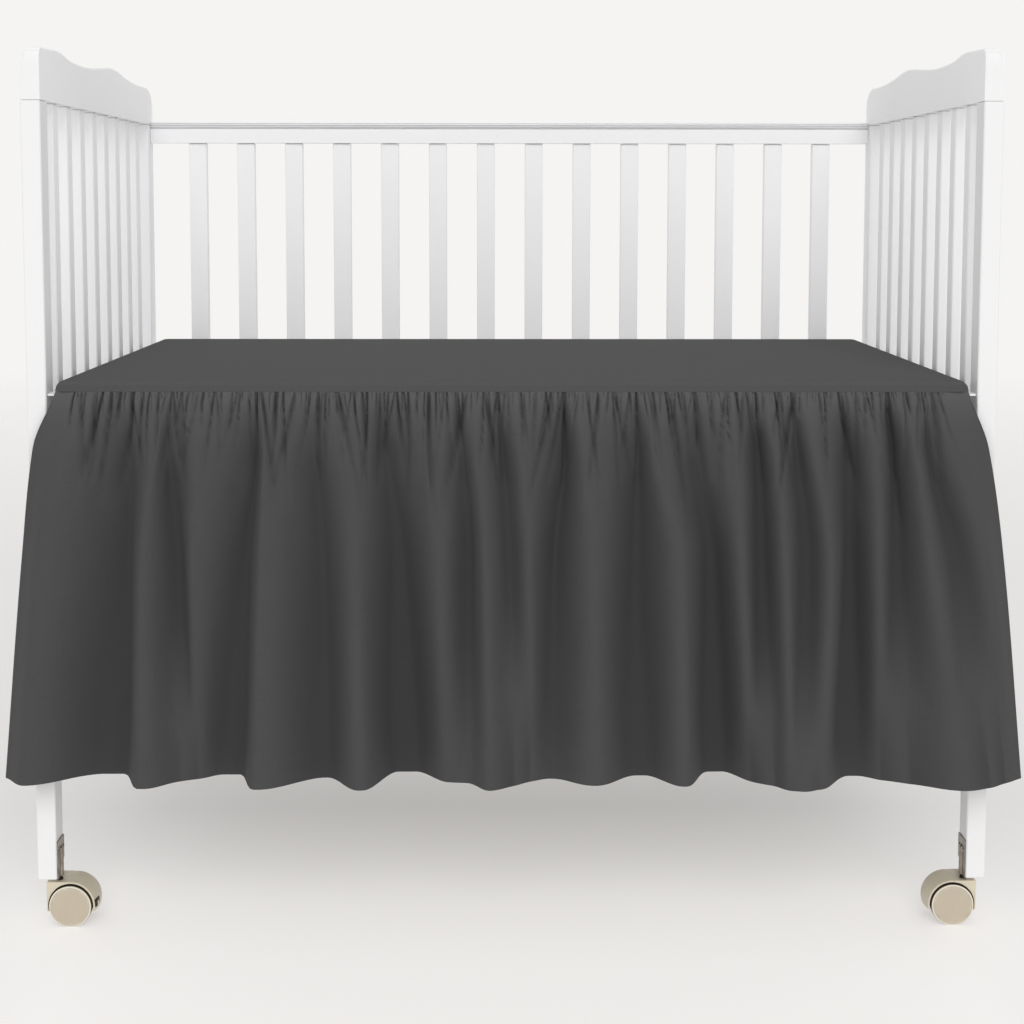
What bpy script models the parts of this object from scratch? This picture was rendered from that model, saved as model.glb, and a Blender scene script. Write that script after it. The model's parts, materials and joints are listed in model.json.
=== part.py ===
"""A gathered bed skirt on a plain slatted crib.

Crib frame: x = 0 half way along the crib, y = 0 at the front posts' front face, z = 0 on the floor.
At the end everything is moved together, so that the origin is the middle of the footprint.
"""
import math

import bmesh
import bpy
from mathutils import Matrix, Vector

MM = 0.001
GAP = 0.3 * MM              # between pieces that touch on the real object

# ---- Crib, metres ----
INNER_LENGTH = 1.330        # between the posts' inner faces, a full-size crib
END_DEPTH = 0.780           # over the posts, front to back
POST_WIDTH = 0.028          # along x
POST_DEPTH = 0.039          # along y
POST_BOTTOM = 0.0725
CAP_BOTTOM = 1.203
EDGE_ROUND = 1.5 * MM       # eased edges of the painted wood

# Scalloped end cap, millimetres: distance back from the front face, height above the post
CAP_PROFILE = (
    # (back, height)
    (0, 63),
    (2, 69),
    (8, 73),
    (30, 74),
    (100, 77),
    (125, 75),
    (165, 70),
    (220, 67),
    (290, 67),
    (350, 71),
    (410, 76),
    (460, 79),
    (500, 77),
    (545, 72),
    (590, 68),
    (640, 65.5),
    (700, 65),
    (735, 65),
    (752, 61),
    (766, 54),
    (775, 44),
    (780, 30),
)
CAP_TOP_ROUND = 9 * MM      # rounding of the cap's outer top edge
CAP_EDGE_ROUND = 2.5 * MM

END_SLATS = 8
END_SLAT_WIDTH = 0.028      # along y
END_SLAT_THICK = 0.015
END_SLAT_INSET = 6 * MM     # from the post's inner face
BACK_SLATS = 14
BACK_SLAT_WIDTH = 0.033
BACK_SLAT_THICK = 0.014
BACK_SLAT_SPAN = 1.157      # first slat's middle to the last one's
BACK_FACE = 0.762           # y of the back slats' front face

BACK_RAIL_BOTTOM = 1.169
BACK_RAIL_TOP = 1.208
LOWER_RAIL_BOTTOM = 0.250
LOWER_RAIL_TOP = 0.310

# Back rail's section, millimetres: forward of the slats' front face, height above its bottom
RAIL_SECTION = (
    # (forward, height)
    (-16, 0),
    (4, 0),
    (4, 29),
    (7, 31),
    (8, 33.5),
    (7, 35.5),
    (5, 36.5),
    (5, 39),
    (-16, 39),
)

# ---- Mattress deck and its hangers ----
DECK_HALF_LENGTH = 0.6435
DECK_FRONT = -3 * MM
DECK_BACK = 0.7475
DECK_TOP = 0.8044
DECK_THICK = 17.4 * MM
DECK_ROUND = 8 * MM
HANGER_THICK = 3 * MM
HANGER_BAR = (0.630, 0.640)     # x of the bar that lies under the deck
HANGER_TAB = 0.028              # length of a tab along y
HANGER_TAB_INSET = 6 * MM       # from the post's outer face in y

# ---- Casters ----
WHEEL_RADIUS = 0.031
WHEEL_FLAT = 0.6 * MM           # worn flat that stands on the floor
WHEEL_INBOARD = 0.031           # wheel's middle from the post's middle
WHEEL_FRONT = 3 * MM            # y of the front disc's face
CASTER_DEPTH = 0.054            # over both discs
WHEEL_THICK = 0.0155
AXLE_RADIUS = 4 * MM
AXLE_INSET = 2 * MM             # ends of the axle inside the discs
BORE_RADIUS = 4.5 * MM
BORE_INSET = 1 * MM             # ends of the web's bore cutter inside the discs
HOOD_RADIUS = 0.038
HOOD_FLAT = 0.035               # outboard flat, from the wheel's middle
HOOD_TOP = 0.066                # top of the square corner under the post
HOOD_LOW = 0.022                # underside of the hood
HOOD_BRIM_GAP = 1.5 * MM        # between the hood's brim and the wheels
HOOD_BRIM_INSET = 4.5 * MM      # the brim stands back from the disc's face
HOOD_WEB_GAP = 1.2 * MM         # between the web and each disc
PLATE_THICK = 1.5 * MM
PLATE_INSET = 1 * MM            # the plate is narrower than the post
PLATE_BOTTOM = 0.0775
PLATE_TOP = 0.1285
SLEEVE_RADIUS = 6.5 * MM
SLEEVE_TOP = 0.117
SLEEVE_SUNK = 2 * MM            # the sleeve runs this far past the plate and is cut off flush
STEM_RADIUS = 4 * MM
STEM_SUNK = 4 * MM              # foot of the stem inside the hood
CUT_PAST = 20 * MM              # how far a cutter reaches past what it cuts

# ---- Bed skirt ----
CLOTH = 2 * MM
PLATFORM_TOP = 0.8067
PLATFORM_HALF_LENGTH = 0.648    # outside of the turned-down edge
PLATFORM_FRONT = -8 * MM
PLATFORM_BACK = 0.752
PLATFORM_ROUND = 9 * MM
PLATFORM_CORNER = 14 * MM
SEAM = 0.7915                   # height of the seam under the platform's turned-down edge
HEM = 0.2385

# Heights at which the front drop's creases are given
UPPER = 0.710
MIDDLE = 0.554
STATIONS = (SEAM, UPPER, MIDDLE, HEM)

# The front drop's creases from left to right, millimetres. A ridge stands forward and a valley back.
# x at the seam, upper, middle and hem heights, then y at the upper, middle and hem heights.
FRONT_CREASES = (
    # (kind, x_seam, x_upper, x_middle, x_hem, y_upper, y_middle, y_hem)
    ("turned edge", -646, -679, -694, -719, -7, -9, -14),
    ("side edge", -645, -683, -700, -726, -10, -20, -36),
    ("ridge", -615, -640, -667, -690, -28, -44, -70),
    ("valley", -560, -545, -555, -588, -15, -18, -20),
    ("ridge", -510, -508, -521, -518, -28, -50, -84),
    ("valley", -484, -490, -478, -473, -18, -30, -54),
    ("ridge", -452, -440, -452, -448, -27, -42, -42),
    ("valley", -370, -365, -384, -415, -15, -25, -24),
    ("ridge", -343, -350, -354, -358, -27, -49, -88),
    ("valley", -288, -285, -271, -265, -19, -24, -38),
    ("ridge", -235, -222, -224, -216, -27, -53, -92),
    ("valley", -194, -181, -160, -145, -11, -13, -12),
    ("ridge", -104, -105, -102, -90, -28, -42, -58),
    ("valley", -80, -72, -62, -64, -21, -31, -62),
    ("ridge", -58, -50, -40, -33, -29, -54, -94),
    ("valley", -20, -14, -4, 2, -17, -38, -74),
    ("ridge", 0, 12, 22, 25, -28, -46, -56),
    ("valley", 70, 76, 60, 55, -9, -22, -44),
    ("ridge", 88, 98, 112, 115, -30, -54, -74),
    ("valley", 175, 181, 180, 190, -15, -18, -30),
    ("ridge", 193, 201, 234, 240, -30, -53, -78),
    ("valley", 258, 260, 289, 302, -16, -14, -14),
    ("ridge", 295, 315, 323, 341, -28, -38, -58),
    ("valley", 334, 350, 361, 370, -9, -22, -76),
    ("ridge", 355, 371, 383, 389, -29, -44, -96),
    ("valley", 396, 405, 424, 408, -17, -34, -100),
    ("ridge", 414, 425, 446, 428, -30, -51, -92),
    ("valley", 462, 482, 489, 495, -10, -16, -34),
    ("ridge", 495, 513, 519, 524, -28, -34, -50),
    ("valley", 530, 545, 555, 560, -11, -26, -68),
    ("ridge", 547, 571, 589, 635, -27, -47, -98),
    ("valley", 585, 592, 636, 674, -15, -40, -84),
    ("ridge", 605, 628, 668, 702, -22, -45, -64),
    ("side edge", 645, 680, 702, 729, -10, -23, -44),
    ("turned edge", 646, 676, 697, 723, -7, -9, -18),
)
FRONT_COLUMNS = 3               # mesh columns from one crease to the next
FRONT_ROWS = 11
ROW_CROWDING = 1.6              # rows crowd towards the seam, where the gathers are short

# Hidden drops, metres: plain, with soft folds that all hang inwards
SIDE_DROP = (0.047, 0.733)      # y, between the hangers' tabs
BACK_DROP_HALF = 0.626
SIDE_FOLDS = 6
BACK_FOLDS = 10
HIDDEN_COLUMNS = 5              # mesh columns in one fold
HIDDEN_ROWS = 6
HIDDEN_BULGE = 6 * MM           # how far a fold stands out beyond the seam
HIDDEN_DEPTH = 30 * MM          # how far it hangs back at the hem
HIDDEN_SWAY = 0.16              # unevenness of the folds' spacing, in folds
HIDDEN_DRIFT = 0.77             # how often that unevenness comes round, in half turns a fold
HIDDEN_SWELL = 0.25             # part of the drop over which a fold reaches its full bulge

# Colours, linear
WHITE_PAINT = (0.84, 0.84, 0.855, 1)
CHARCOAL = (0.065, 0.065, 0.067, 1)
BEIGE_PLASTIC = (0.56, 0.49, 0.385, 1)
DARK_STEEL = (0.20, 0.17, 0.13, 1)
BOARD = (0.78, 0.77, 0.74, 1)


# ---- Scene, materials and plain shapes ----

def clear_scene():
    for obj in list(bpy.data.objects):
        bpy.data.objects.remove(obj, do_unlink=True)


def new_collection(name):
    collection = bpy.data.collections.new(name)
    bpy.context.scene.collection.children.link(collection)
    return collection


def finish(name, colour, roughness, metallic=0.0):
    material = bpy.data.materials.new(name)
    material.use_nodes = True
    shader = material.node_tree.nodes["Principled BSDF"]
    shader.inputs["Base Color"].default_value = colour
    shader.inputs["Roughness"].default_value = roughness
    shader.inputs["Metallic"].default_value = metallic
    material.diffuse_color = colour
    return material


def keep(obj, name, material):
    """Names an object and puts it in the crib's collection, under the common origin."""
    obj.name = name
    obj.data.name = name
    obj.data.materials.clear()
    obj.data.materials.append(material)
    for collection in list(obj.users_collection):
        collection.objects.unlink(obj)
    PARTS.objects.link(obj)
    obj.parent = ORIGIN
    return obj


def add_bevel(obj, width, segments=1, limit="ANGLE"):
    bevel = obj.modifiers.new("Eased edges", "BEVEL")
    bevel.width = width
    bevel.segments = segments
    bevel.limit_method = limit
    return bevel


def box(low, high):
    """A cuboid between two corners, with its scale applied."""
    low, high = Vector(low), Vector(high)
    bpy.ops.mesh.primitive_cube_add(size=1, location=(low + high) / 2)
    obj = bpy.context.object
    obj.data.transform(Matrix.Diagonal((*(high - low), 1)))
    return obj


def painted_bar(name, low, high, material):
    obj = keep(box(low, high), name, material)
    add_bevel(obj, EDGE_ROUND)
    return obj


def outline_solid(points, depth, placing):
    """Extrudes a flat outline, given in its own x and y, and turns it into place as a mesh."""
    curve = bpy.data.curves.new("outline", "CURVE")
    curve.dimensions = "2D"
    curve.fill_mode = "BOTH"
    curve.extrude = depth / 2
    spline = curve.splines.new("POLY")
    spline.points.add(len(points) - 1)
    for point, (x, y) in zip(spline.points, points):
        point.co = (x, y, 0, 1)
    spline.use_cyclic_u = True
    guide = bpy.data.objects.new("outline", curve)
    bpy.context.scene.collection.objects.link(guide)
    bpy.context.view_layer.update()
    mesh = bpy.data.meshes.new_from_object(guide.evaluated_get(bpy.context.evaluated_depsgraph_get()))
    bpy.data.objects.remove(guide)
    shape = bmesh.new()
    shape.from_mesh(mesh)
    bmesh.ops.remove_doubles(shape, verts=shape.verts, dist=0.01 * MM)
    bmesh.ops.dissolve_limit(shape, angle_limit=0.001, verts=shape.verts, edges=shape.edges)
    bmesh.ops.recalc_face_normals(shape, faces=shape.faces)
    shape.to_mesh(mesh)
    shape.free()
    mesh.transform(placing)
    obj = bpy.data.objects.new("outline", mesh)
    bpy.context.scene.collection.objects.link(obj)
    return obj


def turned_to_y(x, y_middle, z):
    """Places an outline drawn in x and z, extruded along y."""
    return Matrix.Translation((x, y_middle, z)) @ Matrix.Rotation(math.pi / 2, 4, "X")


def turned_to_x(x_middle, y, z):
    """Places an outline drawn in y and z, extruded along x."""
    columns = Matrix(((0, 0, 1), (1, 0, 0), (0, 1, 0))).to_4x4()
    return Matrix.Translation((x_middle, y, z)) @ columns


def cylinder(radius, low, high, axis, sides=16):
    """A round bar between two points on a line along the named axis."""
    low, high = Vector(low), Vector(high)
    turn = {"Z": (0, 0, 0), "Y": (math.pi / 2, 0, 0)}[axis]
    bpy.ops.mesh.primitive_cylinder_add(
        vertices=sides, radius=radius, depth=(high - low).length, location=(low + high) / 2, rotation=turn
    )
    return bpy.context.object


def combine(obj, tool, operation):
    """Joins another shape to an object, or cuts with it, and hides the tool among the cutters."""
    for collection in list(tool.users_collection):
        collection.objects.unlink(tool)
    CUTTERS.objects.link(tool)
    tool.parent = ORIGIN
    tool.hide_render = True
    tool.display_type = "WIRE"
    boolean = obj.modifiers.new(operation.title(), "BOOLEAN")
    boolean.operation = operation
    boolean.solver = "EXACT"
    boolean.object = tool


# ---- Crib ----

def make_posts(paint):
    for x_name, side in SIDES:
        inner = INNER_LENGTH / 2
        for y_name, front in (("front", 0.0), ("back", END_DEPTH - POST_DEPTH)):
            xs = sorted((side * inner, side * (inner + POST_WIDTH)))
            painted_bar(
                f"post_{y_name}_{x_name}",
                (xs[0], front, POST_BOTTOM),
                (xs[1], front + POST_DEPTH, CAP_BOTTOM - GAP),
                paint,
            )


def make_end_cap(x_name, side, paint):
    """The scalloped board on two posts, with its outer top edge well rounded."""
    outline = [(0, 0)] + [(back * MM, height * MM) for back, height in CAP_PROFILE] + [(END_DEPTH, 0)]
    middle = side * (INNER_LENGTH + POST_WIDTH) / 2
    board = outline_solid(outline, POST_WIDTH, turned_to_x(middle, 0, CAP_BOTTOM))
    cap = keep(board, f"end_cap_{x_name}", paint)
    weights = cap.data.attributes.new("bevel_weight_edge", "FLOAT", "EDGE")
    vertices = cap.data.vertices
    for edge in cap.data.edges:
        ends = [vertices[i].co for i in edge.vertices]
        along_rim = abs(ends[0].x - ends[1].x) < GAP
        on_top = min(end.z for end in ends) > CAP_BOTTOM + GAP
        outer = all(side * end.x > abs(middle) for end in ends)
        if along_rim and on_top and outer:
            weights.data[edge.index].value = 1.0
        elif along_rim and on_top:
            weights.data[edge.index].value = CAP_EDGE_ROUND / CAP_TOP_ROUND
    add_bevel(cap, CAP_TOP_ROUND, 3, "WEIGHT")
    return cap


def make_end(x_name, side, paint):
    """One end of the crib between its posts: cap, slats and lower rail."""
    make_end_cap(x_name, side, paint)
    inner = INNER_LENGTH / 2 + END_SLAT_INSET
    xs = sorted((side * inner, side * (inner + END_SLAT_THICK)))
    painted_bar(
        f"end_rail_{x_name}",
        (xs[0], POST_DEPTH + GAP, LOWER_RAIL_BOTTOM),
        (xs[1], END_DEPTH - POST_DEPTH - GAP, LOWER_RAIL_TOP),
        paint,
    )
    clear = END_DEPTH - 2 * POST_DEPTH - END_SLATS * END_SLAT_WIDTH
    pitch = END_SLAT_WIDTH + clear / (END_SLATS + 1)
    for i in range(END_SLATS):
        front = POST_DEPTH + pitch * (i + 1) - END_SLAT_WIDTH
        painted_bar(
            f"end_slat_{x_name}_{i + 1}",
            (xs[0], front, LOWER_RAIL_TOP + GAP),
            (xs[1], front + END_SLAT_WIDTH, CAP_BOTTOM - GAP),
            paint,
        )


def make_back(paint):
    """Back of the crib: moulded top rail, slats and lower rail."""
    half = INNER_LENGTH / 2 - GAP
    section = [(-forward * MM, height * MM) for forward, height in RAIL_SECTION]
    rail = outline_solid(section, 2 * half, turned_to_x(0, BACK_FACE, BACK_RAIL_BOTTOM))
    keep(rail, "back_rail", paint)
    back = BACK_FACE + BACK_SLAT_THICK
    lower = ((-half, BACK_FACE, LOWER_RAIL_BOTTOM), (half, back, LOWER_RAIL_TOP))
    painted_bar("back_lower_rail", *lower, paint)
    for i in range(BACK_SLATS):
        middle = BACK_SLAT_SPAN * (i / (BACK_SLATS - 1) - 0.5)
        painted_bar(
            f"back_slat_{i + 1:02d}",
            (middle - BACK_SLAT_WIDTH / 2, BACK_FACE, LOWER_RAIL_TOP + GAP),
            (middle + BACK_SLAT_WIDTH / 2, back, BACK_RAIL_BOTTOM - GAP),
            paint,
        )


def make_deck(board, paint):
    """The board that carries the mattress, and the flat steel hanger under each end of it."""
    deck = keep(
        box(
            (-DECK_HALF_LENGTH, DECK_FRONT, DECK_TOP - DECK_THICK),
            (DECK_HALF_LENGTH, DECK_BACK, DECK_TOP),
        ),
        "deck_board",
        board,
    )
    add_bevel(deck, DECK_ROUND, 2)
    for x_name, side in SIDES:
        bar_in, bar_out = HANGER_BAR
        post = INNER_LENGTH / 2 - GAP
        front = HANGER_TAB_INSET
        back = END_DEPTH - HANGER_TAB_INSET
        outline = [
            (bar_in, front),
            (post, front),
            (post, front + HANGER_TAB),
            (bar_out, front + HANGER_TAB),
            (bar_out, back - HANGER_TAB),
            (post, back - HANGER_TAB),
            (post, back),
            (bar_in, back),
        ]
        if side < 0:
            outline = [(-x, y) for x, y in reversed(outline)]
        middle = DECK_TOP - DECK_THICK - GAP - HANGER_THICK / 2
        keep(
            outline_solid(outline, HANGER_THICK, Matrix.Translation((0, 0, middle))),
            f"deck_hanger_{x_name}",
            paint,
        )


# ---- Casters ----

def arc(radius, first, last, steps):
    angles = [first + (last - first) * i / steps for i in range(steps + 1)]
    return [(radius * math.cos(angle), radius * math.sin(angle)) for angle in angles]


def hood_brim(side):
    """The brim seen from the front about the wheel's middle: round, with a square outboard corner."""
    low = HOOD_LOW - WHEEL_RADIUS
    top = HOOD_TOP - WHEEL_RADIUS
    outside = arc(HOOD_RADIUS, math.asin(low / HOOD_RADIUS), math.pi - math.asin(top / HOOD_RADIUS), 12)
    outside += [(-HOOD_FLAT, top), (-HOOD_FLAT, low)]
    inner = WHEEL_RADIUS + HOOD_BRIM_GAP
    start = math.asin(low / inner)
    inside = arc(inner, math.pi - start, start, 16)
    return [(-side * x, z) for x, z in outside + inside]


def hood_web(side):
    """The web between the wheels, which runs a little way into the brim."""
    radius = WHEEL_RADIUS + 2 * HOOD_BRIM_GAP
    start = math.asin((HOOD_LOW + 1 * MM - WHEEL_RADIUS) / radius)
    return [(-side * x, z) for x, z in arc(radius, start, math.pi - start, 16)]


def make_caster(y_name, x_name, side, post_front, plastic, steel):
    """A hooded twin-wheel caster, its stem and the steel plate that holds it on the post."""
    place = f"{y_name}_{x_name}"
    post_middle = side * (INNER_LENGTH + POST_WIDTH) / 2
    wheel_x = post_middle - side * WHEEL_INBOARD
    face = post_front + WHEEL_FRONT
    rear = face + CASTER_DEPTH
    middle = (face + rear) / 2
    centre = Vector((wheel_x, 0, WHEEL_RADIUS - WHEEL_FLAT))

    # Twin wheels on one axle, with a flat where they stand
    def disc(front):
        ends = (centre + Vector((0, front, 0)), centre + Vector((0, front + WHEEL_THICK, 0)))
        return cylinder(WHEEL_RADIUS, *ends, "Y", 32)

    wheels = keep(disc(face), f"caster_wheels_{place}", plastic)
    axle_ends = (centre + Vector((0, face + AXLE_INSET, 0)), centre + Vector((0, rear - AXLE_INSET, 0)))
    below = box(
        (wheel_x - WHEEL_RADIUS, face - CUT_PAST, -CUT_PAST),
        (wheel_x + WHEEL_RADIUS, rear + CUT_PAST, 0),
    )
    combine(wheels, cylinder(AXLE_RADIUS, *axle_ends, "Y", 12), "UNION")
    combine(wheels, disc(rear - WHEEL_THICK), "UNION")
    combine(wheels, below, "DIFFERENCE")

    # Hood: a brim over both wheels, a web between them and the stem
    web_half = CASTER_DEPTH / 2 - WHEEL_THICK - HOOD_WEB_GAP
    brim_half = CASTER_DEPTH / 2 - HOOD_BRIM_INSET
    placing = turned_to_y(wheel_x, middle, centre.z)
    hood = keep(outline_solid(hood_brim(side), 2 * brim_half, placing), f"caster_hood_{place}", plastic)
    stem_x = side * (INNER_LENGTH / 2 - GAP - PLATE_THICK - SLEEVE_RADIUS + SLEEVE_SUNK)
    stem_y = post_front + POST_DEPTH / 2
    stem_ends = ((stem_x, stem_y, HOOD_TOP - STEM_SUNK), (stem_x, stem_y, PLATE_BOTTOM - GAP))
    bore_ends = (centre + Vector((0, face + BORE_INSET, 0)), centre + Vector((0, rear - BORE_INSET, 0)))
    combine(hood, outline_solid(hood_web(side), 2 * web_half, placing), "UNION")
    combine(hood, cylinder(STEM_RADIUS, *stem_ends, "Z", 12), "UNION")
    combine(hood, cylinder(BORE_RADIUS, *bore_ends, "Y", 12), "DIFFERENCE")

    # Steel plate on the post's inner face, with the sleeve that takes the stem
    outer = side * (INNER_LENGTH / 2 - GAP)
    xs = sorted((outer, outer - side * PLATE_THICK))
    plate = box(
        (xs[0], post_front + PLATE_INSET, PLATE_BOTTOM),
        (xs[1], post_front + POST_DEPTH - PLATE_INSET, PLATE_TOP),
    )
    keep(plate, f"caster_plate_{place}", steel)
    sleeve_ends = ((stem_x, stem_y, PLATE_BOTTOM), (stem_x, stem_y, SLEEVE_TOP))
    xs = sorted((outer, outer + side * CUT_PAST))
    beyond = box(
        (xs[0], stem_y - CUT_PAST, PLATE_BOTTOM - CUT_PAST),
        (xs[1], stem_y + CUT_PAST, SLEEVE_TOP + CUT_PAST),
    )
    combine(plate, cylinder(SLEEVE_RADIUS, *sleeve_ends, "Z", 14), "UNION")
    combine(plate, beyond, "DIFFERENCE")


# ---- Bed skirt ----

def make_platform(cloth):
    """The flat panel over the deck, turned down all round to the seam."""
    platform = box(
        (-PLATFORM_HALF_LENGTH, PLATFORM_FRONT, SEAM), (PLATFORM_HALF_LENGTH, PLATFORM_BACK, PLATFORM_TOP)
    )
    keep(platform, "skirt_platform", cloth)
    shape = bmesh.new()
    shape.from_mesh(platform.data)
    bottom = [face for face in shape.faces if face.normal.z < -0.5]
    bmesh.ops.delete(shape, geom=bottom, context="FACES_ONLY")
    upright = [edge for edge in shape.edges if abs(edge.verts[0].co.z - edge.verts[1].co.z) > GAP]
    round_off = {"profile": 0.5, "affect": "EDGES", "clamp_overlap": True}
    bmesh.ops.bevel(shape, geom=upright, offset=PLATFORM_CORNER, segments=3, **round_off)
    top = max(vert.co.z for vert in shape.verts)
    rim = [edge for edge in shape.edges if all(vert.co.z > top - GAP for vert in edge.verts)]
    bmesh.ops.bevel(shape, geom=rim, offset=PLATFORM_ROUND, segments=4, **round_off)
    bmesh.ops.recalc_face_normals(shape, faces=shape.faces)
    shape.to_mesh(platform.data)
    shape.free()
    thicken(platform)


def thicken(obj):
    """Gives a cloth surface its thickness, behind its outer face."""
    solidify = obj.modifiers.new("Cloth thickness", "SOLIDIFY")
    solidify.thickness = CLOTH
    solidify.offset = -1
    solidify.use_even_offset = True


def between_stations(values, z):
    """A smooth value at height z from the values at the four stations, which it never overshoots."""
    spans = [STATIONS[i] - STATIONS[i + 1] for i in range(3)]
    slopes = [(values[i + 1] - values[i]) / spans[i] for i in range(3)]
    tangents = [slopes[0]]
    for before, after in zip(slopes, slopes[1:]):
        same_way = before * after > 0
        tangents.append(2 * before * after / (before + after) if same_way else 0.0)
    tangents.append(slopes[2])
    i = 0 if z > STATIONS[1] else 1 if z > STATIONS[2] else 2
    t = (STATIONS[i] - z) / spans[i]
    rise = t * t * (3 - 2 * t)
    return (
        values[i] * (1 - rise)
        + values[i + 1] * rise
        + spans[i] * (tangents[i] * t * (1 - t) ** 2 - tangents[i + 1] * t * t * (1 - t))
    )


def seam_face(x):
    """y of the turned-down edge's outer face at the front, which draws back round the corners."""
    past = max(0.0, abs(x) - (PLATFORM_HALF_LENGTH - PLATFORM_CORNER))
    past = min(past, PLATFORM_CORNER * 0.6)
    return PLATFORM_FRONT + PLATFORM_CORNER - math.sqrt(PLATFORM_CORNER ** 2 - past ** 2)


def crease_point(crease, z):
    _, x_seam, x_upper, x_middle, x_hem, y_upper, y_middle, y_hem = crease
    x = between_stations([value * MM for value in (x_seam, x_upper, x_middle, x_hem)], z)
    depths = [value * MM for value in (y_upper, y_middle, y_hem)]
    y = between_stations([seam_face(x_seam * MM)] + depths, z)
    return x, y


def make_front_drop(cloth):
    """The gathered front panel, from the seam to the hem, in front of the posts."""
    spans = len(FRONT_CREASES) - 1
    columns = spans * FRONT_COLUMNS
    bpy.ops.mesh.primitive_grid_add(x_subdivisions=columns, y_subdivisions=FRONT_ROWS, size=1)
    panel = keep(bpy.context.object, "skirt_front", cloth)
    length = SEAM - GAP - HEM
    for vertex in panel.data.vertices:
        across = (vertex.co.x + 0.5) * spans
        down = 0.5 - vertex.co.y
        z = SEAM - GAP - length * down ** ROW_CROWDING
        k = min(int(across + 1e-6), spans - 1)
        part = across - k
        (x0, y0), (x1, y1) = (crease_point(FRONT_CREASES[k + i], z) for i in range(2))
        turn = (1 - math.cos(math.pi * part)) / 2
        vertex.co = (x0 + (x1 - x0) * part, y0 + (y1 - y0) * turn, z)
    thicken(panel)


def make_hidden_drop(name, start, along, outward, length, folds, cloth):
    """A plain drop under the platform's edge: its folds swell a little outwards and hang back inwards."""
    columns = folds * HIDDEN_COLUMNS
    bpy.ops.mesh.primitive_grid_add(x_subdivisions=columns, y_subdivisions=HIDDEN_ROWS, size=1)
    panel = keep(bpy.context.object, name, cloth)
    start, along, outward = Vector(start), Vector(along), Vector(outward)
    height = SEAM - GAP - HEM
    for vertex in panel.data.vertices:
        across = vertex.co.x + 0.5
        down = (0.5 - vertex.co.y) ** ROW_CROWDING
        phase = folds * across + HIDDEN_SWAY * math.sin(math.pi * folds * across * HIDDEN_DRIFT)
        ridge = (1 + math.cos(2 * math.pi * phase)) / 2
        swell = min(1.0, down / HIDDEN_SWELL)
        push = swell * HIDDEN_BULGE * ridge - down * HIDDEN_DEPTH * (1 - ridge)
        vertex.co = start + along * (length * across) + outward * push - Vector((0, 0, height * down))
    if along.cross(Vector((0, 0, 1))).dot(outward) < 0:
        panel.data.flip_normals()
    thicken(panel)


def make_skirt(cloth):
    make_platform(cloth)
    make_front_drop(cloth)
    y_front, y_back = SIDE_DROP
    for x_name, side in SIDES:
        make_hidden_drop(
            f"skirt_{x_name}",
            (side * PLATFORM_HALF_LENGTH, y_front, SEAM - GAP),
            (0, 1, 0),
            (side, 0, 0),
            y_back - y_front,
            SIDE_FOLDS,
            cloth,
        )
    make_hidden_drop(
        "skirt_back",
        (-BACK_DROP_HALF, PLATFORM_BACK, SEAM - GAP),
        (1, 0, 0),
        (0, 1, 0),
        2 * BACK_DROP_HALF,
        BACK_FOLDS,
        cloth,
    )


def centre_on_floor():
    """Moves the common origin so that the whole footprint is centred on the world's origin."""
    bpy.context.view_layer.update()
    depsgraph = bpy.context.evaluated_depsgraph_get()
    corners = []
    for obj in PARTS.objects:
        if obj.type == "MESH":
            solid = obj.evaluated_get(depsgraph)
            corners += [solid.matrix_world @ Vector(corner) for corner in solid.bound_box]
    for axis in (0, 1):
        values = [corner[axis] for corner in corners]
        ORIGIN.location[axis] -= (min(values) + max(values)) / 2
    ORIGIN.location.z -= min(corner.z for corner in corners)


SIDES = (("left", -1), ("right", 1))

clear_scene()
PARTS = new_collection("bed_skirt_on_crib")
CUTTERS = new_collection("cutters")
ORIGIN = bpy.data.objects.new("crib_origin", None)
PARTS.objects.link(ORIGIN)

paint = finish("white_paint", WHITE_PAINT, 0.45)
board = finish("deck_board", BOARD, 0.6)
steel = finish("dark_steel", DARK_STEEL, 0.38, 1.0)
plastic = finish("beige_plastic", BEIGE_PLASTIC, 0.5)
cloth = finish("charcoal_cloth", CHARCOAL, 0.9)

make_posts(paint)
for end_name, end_side in SIDES:
    make_end(end_name, end_side, paint)
make_back(paint)
make_deck(board, paint)
for end_name, end_side in SIDES:
    make_caster("front", end_name, end_side, 0.0, plastic, steel)
    make_caster("back", end_name, end_side, END_DEPTH - POST_DEPTH, plastic, steel)
make_skirt(cloth)
centre_on_floor()
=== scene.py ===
"""The look of a gathered bed skirt on a plain crib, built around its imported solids.

Crib frame: x = 0 half way along the crib, y = 0 at the front posts' front face, z = 0 on the floor.
"""
import json
import math
import random

import bmesh
import bpy
import numpy as np
from mathutils import Matrix, Vector, noise


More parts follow.
